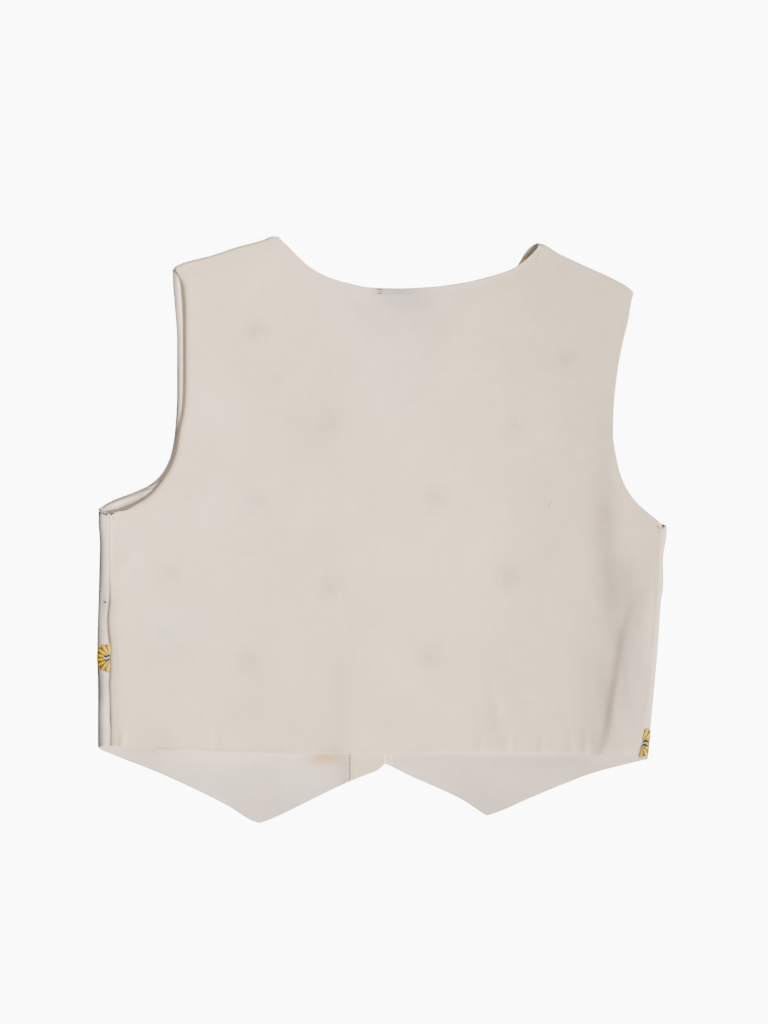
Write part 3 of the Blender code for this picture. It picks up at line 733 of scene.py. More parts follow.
    def back(self, across, up):
        """Return the back."""
        half = self.cloth / 2
        rest = BACK_FACE - half
        stack = fade(np.abs(across - STACK_CENTRE) - STACK_HALF_WIDTH, STACK_SLOPE)
        stack = stack * fade(up - STACK_FADE_FROM, STACK_FADE_OVER)
        sides = fade(across - left_seam(up), SIDE_SLOPE) + fade(right_seam(up) - across, SIDE_SLOPE)
        to_top = self.back_top(across) - up
        top = fade(to_top, TOP_EDGE_SLOPE)
        inner = (1 - np.clip(sides, 0, 1)) * (1 - top)
        height = rest + (STACK_FACE - BACK_FACE) * stack
        height = height + (self.side_top - rest) * sides + (self.shoulder_top - rest) * top
        # The shoulders round off towards their folds, and the left armhole's edge droops.
        neck_left, neck_right = NECKLINE["across"][[0, -1]]
        half_blend = CORNER_BLEND / 2
        on_shoulder = ease((neck_left + half_blend - across) / CORNER_BLEND)
        on_shoulder = on_shoulder + ease((across - neck_right + half_blend) / CORNER_BLEND)
        depth = np.clip((to_top + self.shoulder_radius + SEAM_GAP) / SHOULDER_ROUND, 0, 1)
        height = height - self.shoulder_radius * on_shoulder * droop(depth)
        inside = np.clip(from_edge(left_armhole, across, up) / ARMHOLE_DROP_OVER, 0, 1)
        drooped = droop(inside) * ease((up - LEFT_UNDERARM) / ARMHOLE_DROP_START)
        height = height - ARMHOLE_DROP * drooped * (1 - top)
        groove = seam_groove(across - left_seam(up), up, BACK_GROOVE_WIDTH)
        height = height - groove * (up < LEFT_UNDERARM)
        height = height - HEM_DROP * fade(up - back_hem(across), HEM_DROP_OVER) * (1 - stack * 0.4)
        height = height - V_SAG * v_share(across, up) * inner
        relief = crease_lift(across, up, BACK_CREASES) + pucker_lift(across, up)
        slow = BACK_RIPPLE * ripple(across, up, BACK_RIPPLE_LENGTH, 1)
        quick = BACK_FINE_RIPPLE * ripple(across, up, BACK_FINE_RIPPLE_LENGTH, 2)
        relief = relief + (slow + quick) * inner
        return np.stack([across, up, height + self.crease * relief], axis=-1)


def fold_over(distance, radius, soft, low):
    """Return how far past a fold's centre line cloth gets, how high, and which way its face turns.

    The fold turns back at a low height, and on top it rounds off over a softer width.
    """
    turn = np.clip(distance / radius, 0, math.pi)
    reach = radius * np.sin(turn) - np.maximum(distance - math.pi * radius, 0)
    inner = np.clip((radius - reach) / soft, 0, 1)
    above = low + (2 * radius - low) * np.sqrt(1 - (1 - inner) ** 2)
    rise = np.where(turn > math.pi / 2, above, low * (1 - np.cos(turn)))
    return reach, rise, np.cos(turn)


def from_edge(edge, across, up):
    """Return how far a place lies to the right of an edge, square to the edge."""
    slant = edge(up + 0.5) - edge(up - 0.5)
    return (across - edge(up)) / np.sqrt(1 + slant**2)


def seam_depth(up):
    """Return how deep the left side seam lies at a height, 0 to 1, deeper to the hem."""
    return ease((SEAM_DEEP_FROM - up) / SEAM_DEEP_OVER) * (0.85 + 0.15 * np.sin(up / 6.5))


def seam_groove(distance, up, width):
    """Return how far the cloth dips at a distance from the left side seam."""
    return SEAM_GROOVE * seam_depth(up) * bell(distance, width)


def back_seam_shade(across, up):
    """Return the painted shade on the back beside the left side seam."""
    inside = across - left_seam(up)
    line = BACK_SEAM_LINE * bell(inside, SEAM_SHADE_WIDTH)
    shade = line + BACK_SEAM_SHADE * np.exp(-inside / BACK_SEAM_FADE)
    return shade * seam_shade_back(up) * (up < LEFT_UNDERARM)


def v_share(across, up):
    """Return how far a place lies inside the open V between the fronts' neck edges, 0 to 1."""
    inside = np.minimum(across - left_front_edge(up), right_front_edge(up) - across)
    return ease(inside / V_TONE_BLUR + 0.5) * ease((up - V_FROM) / V_OVER)


def show_through(across, up):
    """Return the shade and coolness that the fronts' flowers bring to the back over them."""
    channels = np.zeros((*across.shape, 3))
    grain = 0.5 + 0.5 * ripple(across, up, SHADOW_GRAIN_LENGTH, 11)
    for places in (LEFT_FLOWERS, RIGHT_FLOWERS):
        for place, height, turn, faint in zip(*places.values()):
            aside, ahead = across - place, up - height
            away = np.hypot(aside, ahead)
            lobes = 1 + SHADOW_LOBES * np.cos(3 * np.arctan2(ahead, aside) + turn)
            petals = bell(away, SHADOW_RADIUS * lobes, 4)
            core = np.exp(-((aside / SHADOW_CORE_WIDE) ** 2 + (ahead / SHADOW_CORE_HIGH) ** 2))
            spot = SHADOW_PETALS * petals * (SHADOW_EVEN + SHADOW_GRAIN * grain) + SHADOW_CORE * core
            channels += (faint * spot)[..., None] * SHADOW_TINT
    return channels


def soft_tones(across, up, patches):
    """Return the shade, warmth and coolness of soft patches, one channel each."""
    channels = np.zeros((*across.shape, 3))
    for place, height, wide, high, turn, *strengths in zip(*patches.values()):
        cos, sin = math.cos(math.radians(turn)), math.sin(math.radians(turn))
        aside, ahead = across - place, up - height
        along, over = (aside * cos + ahead * sin) / wide, (ahead * cos - aside * sin) / high
        patch = np.exp(-(np.abs(along) ** 2.6) - np.abs(over) ** 2.6)
        channels += patch[..., None] * np.array(strengths)
    return channels


# ---------------------------------------------------------------- grids and shells


def grid_lines(near, shares, far):
    """Return a function that spreads a grid's lines between two edges.

    near and far are distances from the two edges, and shares are parts of the space between them.
    """
    taken = near[-1] + far[0]
    fixed = [*near, *[near[-1]] * len(shares), *[taken - distance for distance in far]]
    share = [0.0] * len(near) + list(shares) + [1.0] * len(far)
    fixed, share = np.array(fixed), np.array(share)

    def spread(start, end):
        start, end = np.asarray(start)[..., None], np.asarray(end)[..., None]
        return start + fixed + share * (end - start - taken)

    return spread


def even_lines(start, end, spacing):
    """Return lines from one distance to another, about evenly spaced, both ends included."""
    return np.linspace(start, end, max(2, round((end - start) / spacing) + 1))


def framed_lines(length, spacing, edge=EDGE_LINES):
    """Return lines across a length, close together at both ends."""
    edge = np.array(edge)
    middle = even_lines(edge[-1], length - edge[-1], spacing)[1:-1]
    return np.concatenate([edge, middle, length - edge[::-1]])


def graded(length, spacing, places, fine=0.5):
    """Return shares of a length, closer together near some places along it."""
    lines = [0.0]
    while lines[-1] < length:
        nearest = min(abs(lines[-1] - place) for place in places)
        lines.append(lines[-1] + fine + (spacing - fine) * float(ease(nearest / FINE_REACH)))
    return [line / lines[-1] for line in lines[1:-1]]


def pattern(left, right, bottom, top, corners, columns, rows):
    """Return the places across and up of a grid that fills a panel's four edges."""
    left_up = rows(corners["left_bottom"], corners["left_top"])
    right_up = rows(corners["right_bottom"], corners["right_top"])
    across = columns(left(left_up), right(right_up))
    up = rows(bottom(across[0]), top(across[-1])).T
    return across, up


def edge_distance(points):
    """Return how far each point of a grid is from the grid's nearest edge, along its lines."""
    down = np.linalg.norm(np.diff(points, axis=0), axis=-1)
    aside = np.linalg.norm(np.diff(points, axis=1), axis=-1)
    from_bottom = np.vstack([np.zeros(points.shape[1]), np.cumsum(down, axis=0)])
    from_left = np.hstack([np.zeros((points.shape[0], 1)), np.cumsum(aside, axis=1)])
    to_top, to_right = from_bottom[-1] - from_bottom, from_left[:, -1:] - from_left
    return np.minimum.reduce([from_bottom, to_top, from_left, to_right])


def normals_of(points):
    """Return the unit normals of a grid's surface."""
    normal = np.cross(np.gradient(points, axis=1), np.gradient(points, axis=0))
    return normal / np.linalg.norm(normal, axis=-1, keepdims=True)


def half_thickness(distance, cloth, roll):
    """Return half the cloth's thickness at a distance from its edge: round, then a turned roll."""
    rim = np.clip(distance / (cloth / 2), 0, 1)
    half = cloth / 2 * np.sqrt(np.maximum(1 - (1 - rim) ** 2, 0))
    rolled = bell(distance - RIM, RIM_WIDTH) - RIM_HOLLOW * bell(distance - RIM_FLAT, RIM_WIDTH)
    return half + roll * rolled * rim


def add_shell(name, points, flat, tones, cloth, material, roll):
    """Add a thin closed shell of cloth on a grid, with its flat pattern as UV map and its tones."""
    rows, columns = points.shape[:2]
    normals = normals_of(points)
    half = half_thickness(edge_distance(points), cloth, roll)[..., None]
    upper, lower = points + normals * half, points - normals * half
    inner = np.zeros((rows, columns), bool)
    inner[1:-1, 1:-1] = True
    top_index = np.arange(rows * columns).reshape(rows, columns)
    low_index = top_index.copy()
    low_index[inner] = rows * columns + np.arange(inner.sum())
    quads = []
    for index, order in ((top_index, (0, 1, 2, 3)), (low_index, (3, 2, 1, 0))):
        corners = (index[:-1, :-1], index[:-1, 1:], index[1:, 1:], index[1:, :-1])
        quads.append(np.stack([corners[i] for i in order], axis=-1).reshape(-1, 4))
    vertices = np.vstack([upper.reshape(-1, 3), lower[inner]]) * MM
    faces = np.vstack(quads)
    mesh = bpy.data.meshes.new(name)
    mesh.from_pydata(vertices.tolist(), [], faces.tolist())
    mesh.shade_smooth()
    mesh.materials.append(material)

    def spread_out(values):
        return np.vstack([values.reshape(rows * columns, -1), values[inner].reshape(inner.sum(), -1)])

    uv = mesh.uv_layers.new(name="pattern")
    uv.data.foreach_set("uv", (spread_out(flat) * MM)[faces.ravel()].ravel())
    colour = np.ones((len(vertices), 4))
    colour[:, :3] = spread_out(tones)
    mesh.attributes.new("tone", "FLOAT_COLOR", "POINT").data.foreach_set("color", colour.ravel())
    mesh.update()
    piece = bpy.data.objects.new(name, mesh)
    bpy.context.scene.collection.objects.link(piece)
    return piece


def flat_size(across, up):
    """Return a cut's width, length and area in metres from its grid on the flat pattern."""
    step_across, step_up = np.diff(across, axis=1)[:-1], np.diff(up, axis=0)[:, :-1]
    skew = np.diff(across, axis=0)[:, :-1] * np.diff(up, axis=1)[:-1]
    area = np.abs(step_across * step_up - skew).sum()
    return (np.ptp(across) * MM, np.ptp(up) * MM), area * MM * MM


def lay_cloth(name, node, grid, points, tones, thick, material, rests_on, roll=EDGE_ROLL):
    """Add a piece of cloth on the root body, and hide the part that it stands for."""
    piece = add_shell(name, points, np.stack(grid, axis=-1), tones, thick, material, roll)
    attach(piece, "root")
    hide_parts(node)
    flat, area = flat_size(*grid)
    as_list(rests_on)


# ---------------------------------------------------------------- flat patterns


def back_grid(lie, spacing):
    """Return the back's grid on its flat pattern."""
    left = joined(left_seam, left_armhole, LEFT_UNDERARM)
    right = joined(right_seam, right_armhole, RIGHT_UNDERARM)
    corners = {
        "left_bottom": float(back_hem(left(BELOW_ALL))),
        "left_top": float(lie.back_top(BACK_LEFT_ARMHOLE["across"][-1])),
        "right_bottom": float(back_hem(right(BELOW_ALL))),
        "right_top": float(lie.back_top(BACK_RIGHT_ARMHOLE["across"][-1])),
    }
    start, end = BACK_LEFT_ARMHOLE["across"][-1], BACK_RIGHT_ARMHOLE["across"][-1]
    edge = EDGE_LINES[-1]
    necks = [place - start - edge for place in NECKLINE["across"][[0, -1]]]
    columns = graded(end - start - 2 * edge, spacing * BACK_COLUMN_SPACING, necks)
    low, high = corners["left_bottom"], corners["left_top"]
    arms = [LEFT_UNDERARM - low - edge, RIGHT_UNDERARM - corners["right_bottom"] - edge]
    rows = graded(high - low - 2 * edge, spacing * ROW_SPACING, [1.5, *arms])
    columns, rows = (grid_lines(EDGE_LINES, shares, EDGE_LINES[::-1]) for shares in (columns, rows))
    across, up = pattern(left, right, back_hem, lie.back_top, corners, columns, rows)
    sewn = SEAM_GAP * (fade(across - left(up), 2) - fade(right(up) - across, 2))
    return across + sewn, up


def front_grid(lie, side, spacing):
    """Return a front's grid on its flat pattern, for the left (-1) or the right (1)."""
    underarm = LEFT_UNDERARM if side < 0 else RIGHT_UNDERARM
    armhole = across_at(LEFT_FRONT_ARMHOLE if side < 0 else RIGHT_FRONT_ARMHOLE)
    free_edge = left_front_edge if side < 0 else right_front_edge
    hems = LEFT_FRONT_HEM if side < 0 else RIGHT_FRONT_HEM
    hem = whole_hem(hems)

    def seam(up):
        return lie.seam_reach(side, up)

    def top(across):
        return lie.shoulder_end(side, across)

    side_edge = joined(seam, armhole, underarm)
    ends = (side_edge, free_edge) if side < 0 else (free_edge, side_edge)
    corners = {
        f"{name}_{level}": float(edge(end(height)))
        for name, end in zip(("left", "right"), ends)
        for level, edge, height in (("bottom", hem, BELOW_ALL), ("top", top, ABOVE_ALL))
    }
    # Lines round the side fold are fine, then they widen.
    turned = np.concatenate([EDGE_LINES, even_lines(EDGE_LINES[-1] + 0.6, 13, 0.6)])
    near, far = (turned, EDGE_LINES[::-1]) if side < 0 else (EDGE_LINES, turned[::-1])
    left_end, right_end = hems[0]["across"][0], hems[1]["across"][-1]
    point = hems[1]["across"][0] - left_end - near[-1]
    columns = graded(right_end - left_end - near[-1] - far[0], spacing, [point])
    over = np.concatenate([EDGE_LINES, even_lines(EDGE_LINES[-1] + 0.4, 4.6, 0.4)])[::-1]
    outer = "left" if side < 0 else "right"
    bottom = corners[f"{outer}_bottom"]
    length = corners[f"{outer}_top"] - bottom - EDGE_LINES[-1]
    arm = underarm - bottom - EDGE_LINES[-1]
    rows = graded(length - over[0], spacing * ROW_SPACING, [arm + 1.5, arm + 4.5], fine=0.25)
    columns, rows = grid_lines(near, columns, far), grid_lines(EDGE_LINES, rows, over)
    return pattern(*ends, hem, top, corners, columns, rows)


def facing_grid(side, spacing):
    """Return the grid of the band inside a front's free edge."""
    free_edge = left_front_edge if side < 0 else right_front_edge
    hem = up_at(LEFT_FRONT_HEM[1]) if side < 0 else whole_hem(RIGHT_FRONT_HEM)
    top = FACING_TOP_LEFT if side < 0 else FACING_TOP_RIGHT
    offsets = (-FACING_WIDTH, -FACING_INSET) if side < 0 else (FACING_INSET, FACING_WIDTH)
    width = FACING_WIDTH - FACING_INSET
    part = framed_lines(width, spacing) / width
    left, right = (free_edge(BELOW_ALL) + offset for offset in offsets)
    low = hem(left + (right - left) * part) + FACING_INSET
    length = top - low.min()
    level = framed_lines(length, spacing * 1.6)
    up = low + (top - low) * (level / length)[:, None]
    left, right = (free_edge(up) + offset for offset in offsets)
    return left + (right - left) * part, up


# ---------------------------------------------------------------- threads


def on_face(surface, across, up, distance):
    """Return points at a distance from a middle surface, along its normals."""
    nudge = 0.05
    here = surface(across, up)
    normal = np.cross(surface(across + nudge, up) - here, surface(across, up + nudge) - here)
    return here + distance * normal / np.linalg.norm(normal, axis=-1, keepdims=True)


def add_lines(name, lines, girths=None, dyes=None):
    """Add a mesh of open lines, each an array of points, with each line's girth and dye."""
    mesh = bpy.data.meshes.new(name)
    points = np.vstack(lines) * MM
    counts = [len(line) for line in lines]
    starts = np.concatenate([[0], np.cumsum(counts)[:-1]])
    edges = [(s + i, s + i + 1) for s, count in zip(starts, counts) for i in range(count - 1)]
    mesh.from_pydata(points.tolist(), edges, [])
    if girths is not None:
        girth = mesh.attributes.new("girth", "FLOAT", "POINT")
        girth.data.foreach_set("value", np.concatenate(girths) * MM)
        dye = mesh.attributes.new("dye", "FLOAT_COLOR", "POINT")
        dye.data.foreach_set("color", np.vstack(dyes).ravel())
    piece = bpy.data.objects.new(name, mesh)
    bpy.context.scene.collection.objects.link(piece)
    return piece


def new_tree(kind, name, inputs, outputs):
    """Return a new node tree with named inputs and outputs, and its input and output nodes."""
    tree = bpy.data.node_groups.new(name, f"{kind}NodeTree")
    for label, socket_kind, value in inputs:
        socket_type = f"NodeSocket{socket_kind}"
        socket = tree.interface.new_socket(label, in_out="INPUT", socket_type=socket_type)
        if value is not None:
            socket.default_value = value
    for label, socket_kind in outputs:
        tree.interface.new_socket(label, in_out="OUTPUT", socket_type=f"NodeSocket{socket_kind}")
    return tree, tree.nodes.new("NodeGroupInput"), tree.nodes.new("NodeGroupOutput")


def add_node(tree, kind, settings=None, inputs=None):
    """Add a node with its settings, and with values or links for its inputs."""
    node = tree.nodes.new(kind)
    for name, value in (settings or {}).items():
        setattr(node, name, value)
    for name, value in (inputs or {}).items():
        socket = node.inputs[name]
        if isinstance(value, bpy.types.NodeSocket):
            tree.links.new(value, socket)
        else:
            socket.default_value = value
    return node


def maths(tree, operation, first, second=None, third=None):
    """Add a Math node and return its result."""
    inputs = {i: value for i, value in enumerate((first, second, third)) if value is not None}
    return add_node(tree, "ShaderNodeMath", {"operation": operation}, inputs).outputs[0]


def finish_tree(tree, geometry, given, out):
    """End a tree in realized instances, smooth shading and its material."""
    real = add_node(tree, "GeometryNodeRealizeInstances", inputs={"Geometry": geometry})
    smooth = add_node(tree, "GeometryNodeSetShadeSmooth", inputs={"Geometry": real.outputs[0]})
    painted = add_node(
        tree, "GeometryNodeSetMaterial",
        inputs={"Geometry": smooth.outputs[0], "Material": given.outputs["Material"]},
    )
    tree.links.new(painted.outputs[0], out.inputs[0])


def embroidery_tree():
    """Return the tree that turns lines into round threads of their own girth."""
    tree, given, out = new_tree(
        "Geometry", "embroidery_threads",
        [
            ("Geometry", "Geometry", None), ("Thickness", "Float", 1.0), ("Sides", "Int", 6),
            ("Material", "Material", None),
        ],
        [("Geometry", "Geometry")],
    )
    curve = add_node(tree, "GeometryNodeMeshToCurve", inputs={"Mesh": given.outputs["Geometry"]})
    girth = add_node(
        tree, "GeometryNodeInputNamedAttribute", {"data_type": "FLOAT"}, {"Name": "girth"}
    ).outputs["Attribute"]
    round_line = add_node(
        tree, "GeometryNodeCurvePrimitiveCircle",
        inputs={"Resolution": given.outputs["Sides"], "Radius": 0.5},
    )
    tube = add_node(
        tree, "GeometryNodeCurveToMesh",
        inputs={
            "Curve": curve.outputs[0], "Profile Curve": round_line.outputs[0], "Fill Caps": True,
            "Scale": maths(tree, "MULTIPLY", girth, given.outputs["Thickness"]),
        },
    )
    finish_tree(tree, tube.outputs[0], given, out)
    return tree


def stitch_tree():
    """Return the tree that lays short stitches along lines."""
    tree, given, out = new_tree(
        "Geometry", "running_stitches",
        [
            ("Geometry", "Geometry", None), ("Stitch length", "Float", 1.8 * MM),
            ("Stitch gap", "Float", 0.6 * MM), ("Thread thickness", "Float", 0.22 * MM),
            ("Seed", "Int", 7), ("Material", "Material", None),
        ],
        [("Geometry", "Geometry")],
    )
    curve = add_node(tree, "GeometryNodeMeshToCurve", inputs={"Mesh": given.outputs["Geometry"]})
    length, thread = given.outputs["Stitch length"], given.outputs["Thread thickness"]
    places = add_node(
        tree, "GeometryNodeCurveToPoints", {"mode": "LENGTH"},
        {"Curve": curve.outputs[0], "Length": maths(tree, "ADD", length, given.outputs["Stitch gap"])},
    )
    bead = add_node(
        tree, "GeometryNodeMeshUVSphere", inputs={"Segments": 7, "Rings": 5, "Radius": 0.5}
    )
    uneven = add_node(
        tree, "FunctionNodeRandomValue", {"data_type": "FLOAT"},
        {"Min": 0.86, "Max": 1.1, "Seed": given.outputs["Seed"]},
    )
    long = maths(tree, "MULTIPLY", length, uneven.outputs["Value"])
    size = add_node(tree, "ShaderNodeCombineXYZ", inputs={"X": thread, "Y": thread, "Z": long})
    placed = add_node(
        tree, "GeometryNodeInstanceOnPoints",
        inputs={
            "Points": places.outputs["Points"], "Instance": bead.outputs["Mesh"],
            "Rotation": places.outputs["Rotation"], "Scale": size.outputs[0],
        },
    )
    finish_tree(tree, placed.outputs[0], given, out)
    return tree


def grow(piece, tree, values):
    """Run a geometry node tree on a piece and keep the result as its plain mesh."""
    modifier = piece.modifiers.new("threads", "NODES")
    modifier.node_group = tree
    for item in tree.interface.items_tree:
        if item.in_out == "INPUT" and item.name in values:
            modifier[item.identifier] = values[item.name]
    bpy.context.view_layer.update()
    made = piece.evaluated_get(bpy.context.evaluated_depsgraph_get())
    mesh = bpy.data.meshes.new_from_object(made)
    if not mesh.polygons:
        raise RuntimeError(f"{piece.name}: no threads were made")
    piece.modifiers.remove(modifier)
    piece.data = mesh
    mesh.name = piece.name
    return piece


def work(name, tree, lines, values, girths=None, dyes=None):
    """Make one piece of threads along lines by a geometry node tree."""
    piece = grow(add_lines(name, lines, girths, dyes), bpy.data.node_groups[tree], values)
    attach(piece, "root")


# ---------------------------------------------------------------- the embroidered flowers

FLOWER_RADIUS = 8.5
CENTRE_WIDE = 3.8
CENTRE_HIGH = 2.1
PETALS = 16
PETAL_THREADS = 7
PETAL_FLARE = 0.19     # half a petal's width, as a share of its distance from the centre
PETAL_ROUND = 2.4      # how far from its tip a petal rounds off
PETAL_BASE = 0.95      # where a petal starts, as a share of the oval centre's size
# A petal's threads taper towards both ends, and painted shade darkens them there, most by the centre.
PETAL_TAPER = np.array([0.7, 0.85, 0.95, 1, 1, 1, 0.7])
PETAL_LIGHT = np.array([0.5, 0.8, 1, 1, 1, 0.95, 0.8])
TIP_ROUND = 0.07
TIP_VARIES = (-0.25, 0.15)
HUE_VARIES = 0.35
GIRTH_VARIES = (0.92, 1.03)
CENTRE_WAVE = 0.34     # height of the waves in the rows across a flower's centre
PETAL_GIRTH = 0.44
CENTRE_GIRTH = 0.46
# Rows of thread across a flower's centre, as heights over its middle.
NAVY_ROWS = (-1.38, -1.10, -0.82, 0.82, 1.10, 1.38)
SILVER_ROWS = (-1.8, -0.4, 0.0, 0.4, 1.8)

# Where the flowers are worked on the fronts' flat patterns.
LEFT_FLOWERS = table(
    "across up turn faint",
    (-68.2, 109.6, 8, 1), (-69.3, 16.1, -12, 1), (-28.1, 57.4, 20, 0.9), (-27, -31.7, 3, 1.15),
    (-27, -121.4, -9, 0.7), (-73.7, -73, 14, 1), (-116.1, -25.1, -4, 0.95), (-118.8, -115.9, 11, 0.6),
)
RIGHT_FLOWERS = table(
    "across up turn faint",
    (29.7, 17.8, 6, 1), (27, -70.2, -10, 1), (71, -26.2, 12, 1.15), (73.7, 57.4, -6, 0.9),
    (102.3, 93.1, 15, 0.9), (112.2, -71.9, -3, 0.6),
)
LEFT_SEAM_FLOWER = -70.8
RIGHT_SEAM_FLOWER = -117.6
# Short threads of a flower at the right front's neck edge. Their dye is a share from dark gold to gold,
# from painted shade to painted light.
NECK_FLOWER = table(
    "across up length turn girth dye",
    (78.6, 147.9, 1.8, 50, 0.4, 0.8), (79, 148.8, 1.8, 30, 0.4, 1), (79.5, 149.7, 1.8, 44, 0.4, 0.5),
    (80, 150.6, 1.6, 30, 0.4, 0.9), (80.5, 151.6, 1.5, 50, 0.36, 0.3),
)

THREAD_RISE = 0.03     # how far the sewing's middle lies over the cloth's face
# How far the stitched lines lie from the bands' inner edges, first off the band and then on it.
LEFT_SEWN = (-1.8, 0.8)
RIGHT_SEWN = (1.6, -0.8)
SEWN_FROM = -146.0     # a height under both hems, at which the lines would start
SEWN_OVER_HEM = 1.0    # and how far over the hem they do
SEWN_POINTS = 120

# Short dark tacks and knots: place, length, turn in degrees and girth.
LEFT_FRONT_TACKS = table(
    "across up length turn girth",
    (-159.6, 8.5, 1.4, 14, 0.8), (-160.7, 8.2, 1.1, -24, 0.7), (-160.5, -40.2, 0.7, 20, 1.1),
)
BACK_TACKS = table(
    "across up length turn girth",
    (-148.2, 8.2, 1.4, 30, 0.8), (-146.9, 8.6, 1.5, -8, 0.6), (-147.6, 6.6, 0.9, -30, 0.4),
    (153, 0.6, 1.3, -15, 0.42), (152.2, 1.4, 1, 10, 0.36), (-0.6, 131.9, 3.2, 0, 0.52),
    (-0.4, 130.5, 3.4, 0, 0.26), (-0.6, 129.5, 3.2, 0, 0.32),
)
LABEL_ROWS = ((131.4, 1.6, 15.0), (129.8, -2.8, 15.0))


def petal_threads(angle, dyes, random):
    """Return one satin petal's threads, side by side from the flower's centre to its tip."""
    along = np.array([math.cos(angle), math.sin(angle)])
    aside = np.array([-along[1], along[0]])
    base = PETAL_BASE / math.hypot(along[0] / CENTRE_WIDE, along[1] / CENTRE_HIGH)
    hue = random.uniform(0, HUE_VARIES)
    gold = dyes["gold"] * np.array([1 - 0.3 * hue, 1 - hue, 1.0])
    for thread in range(PETAL_THREADS):
        lean = 2 * thread / (PETAL_THREADS - 1) - 1
        tip = FLOWER_RADIUS * (1 - TIP_ROUND * lean**2) + random.uniform(*TIP_VARIES)
        radius = np.linspace(base, tip, len(PETAL_TAPER))
        rounding = np.clip((radius - FLOWER_RADIUS + PETAL_ROUND) / PETAL_ROUND, 0, 1)
        wide = PETAL_FLARE * radius * np.sqrt(1 - 0.8 * rounding**2)
        line = radius[:, None] * along + (lean * wide)[:, None] * aside
        # Painted light along the middle of each petal, and painted shade on its sides.
        light = np.clip(1.3 - 1.45 * abs(lean + 0.1) + random.uniform(-0.15, 0.15), 0, 1)
        dye = dyes["dark_gold"] + (gold - dyes["dark_gold"]) * light
        girth = PETAL_GIRTH * PETAL_TAPER * random.uniform(*GIRTH_VARIES)
        yield line, girth, dye * PETAL_LIGHT[:, None]


def centre_threads(dyes, random):
    """Return the wavy rows of thread across a flower's oval centre."""
    for dye_name, heights in (("silver", SILVER_ROWS), ("navy", NAVY_ROWS)):
        for height in heights:
            reach = CENTRE_WIDE * 0.97 * math.sqrt(1 - (height / CENTRE_HIGH) ** 2)
            across = np.linspace(-reach, reach, 11)
            up = height - CENTRE_WAVE * np.sin(across * 2.2 + 2.4)
            dye = dyes[dye_name] * random.uniform(0.75, 1.1, (11, 1))
            yield np.stack([across, up], axis=-1), np.full(11, CENTRE_GIRTH), dye


def flower_threads(turn, dyes, random):
    """Return one flower's threads round its centre: lines of points, girths and dyes."""
    threads = []
    for petal in range(PETALS):
        angle = math.radians(turn + 360 * (petal + 0.5) / PETALS)
        threads += petal_threads(angle, dyes, random)
    return threads + list(centre_threads(dyes, random))


def short_threads(surface, tacks, out, dyes):
    """Return straight short threads on a surface: lines, girths and dyes."""
    lines, girths = [], []
    for across, up, length, turn, girth, *_ in zip(*tacks.values()):
        share = np.linspace(-0.5, 0.5, 5) * length
        aside, ahead = share * math.cos(math.radians(turn)), share * math.sin(math.radians(turn))
        rise = out + math.copysign(0.12, out) * np.cos(np.linspace(-1.4, 1.4, 5))[:, None]
        lines.append(on_face(surface, across + aside, up + ahead, rise))
        girths.append(girth * np.array([0.5, 0.9, 1.0, 0.9, 0.5]))
    return lines, girths, [np.tile([*dye, 1.0], (5, 1)) for dye in dyes]


def stitch_lines(lie, face):
    """Return the sewn lines by name. Those at the fronts' bands start just above the hems."""
    up = np.linspace(SEWN_FROM, FACING_TOP_LEFT, SEWN_POINTS)
    outs = (face, face + lie.cloth * FACING_THICK + FACING_GAP)
    left_inner, right_inner = left_front_edge(up) - FACING_WIDTH, right_front_edge(up) + FACING_WIDTH
    left_hem, right_hem = up_at(LEFT_FRONT_HEM[1]), up_at(RIGHT_FRONT_HEM[0])
    edging = on_face(lie.left_front, left_inner, up, face + lie.cloth * 0.3)
    rows = {
        "left_facing_stitches": (left_hem, [
            on_face(lie.left_front, left_inner + beside, up, out)
            for beside, out in zip(LEFT_SEWN, outs)
        ]),
        "right_facing_stitches": (right_hem, [
            on_face(lie.right_front, right_inner + beside, up, out)
            for beside, out in zip(RIGHT_SEWN, outs)
        ]),
        "left_facing_edging": (left_hem, [edging]),
    }
    lines = {
        name: [line[line[:, 1] > hem(line[:, 0]) + SEWN_OVER_HEM] for line in sewn]
        for name, (hem, sewn) in rows.items()
    }
    lines["label_stitches"] = [
        on_face(lie.back, np.linspace(start, end, 9), np.full(9, height), face)
        for height, start, end in LABEL_ROWS
    ]
    return lines


def lay_flowers(surface, places, dyes, out, random, keep):
    """Lay flowers on the outer face of a front where it is kept: lines, girths and dyes."""
    lines, girths, colours = [], [], []
    for across, up, turn in places:
        for line, girth, dye in flower_threads(turn, dyes, random):
            flat = line + np.array([across, up])
            kept = np.flatnonzero(keep(flat[:, 0], flat[:, 1]))
            # A thread is laid where one unbroken stretch of it is kept.
            if len(kept) < 2 or np.ptp(kept) + 1 != len(kept):
                continue
            flat, girth, dye = flat[kept], girth[kept], dye[kept]
            lines.append(on_face(surface, flat[:, 0], flat[:, 1], -(out + 0.25 * girth[:, None])))
            girths.append(girth)
            colours.append(np.hstack([dye, np.ones((len(flat), 1))]))
    return lines, girths, colours


# ---------------------------------------------------------------- materials

# Scales of the noises, per metre, and depths of the relief that they and the weave bring.
DRIFT_SCALE = 260.0
SLOW_MOTTLE = 26.0
QUICK_MOTTLE = 150.0
STREAK_FINE = 900.0
STREAK_LONG = 34.0
FLOSS_PLY = 5200.0
THREAD_PLY = 4200.0
YARN_DRIFT = 0.22 * MM
WEAVE_DEPTH = 0.12 * MM
PLY_DEPTH = 0.06 * MM
SHADE_SHARE = 0.5      # how much a full tone of shade darkens the cloth
WARM_SHARE = 0.55      # how much of its colour a full warm or cool tone takes over
COOL_SHARE = 0.5


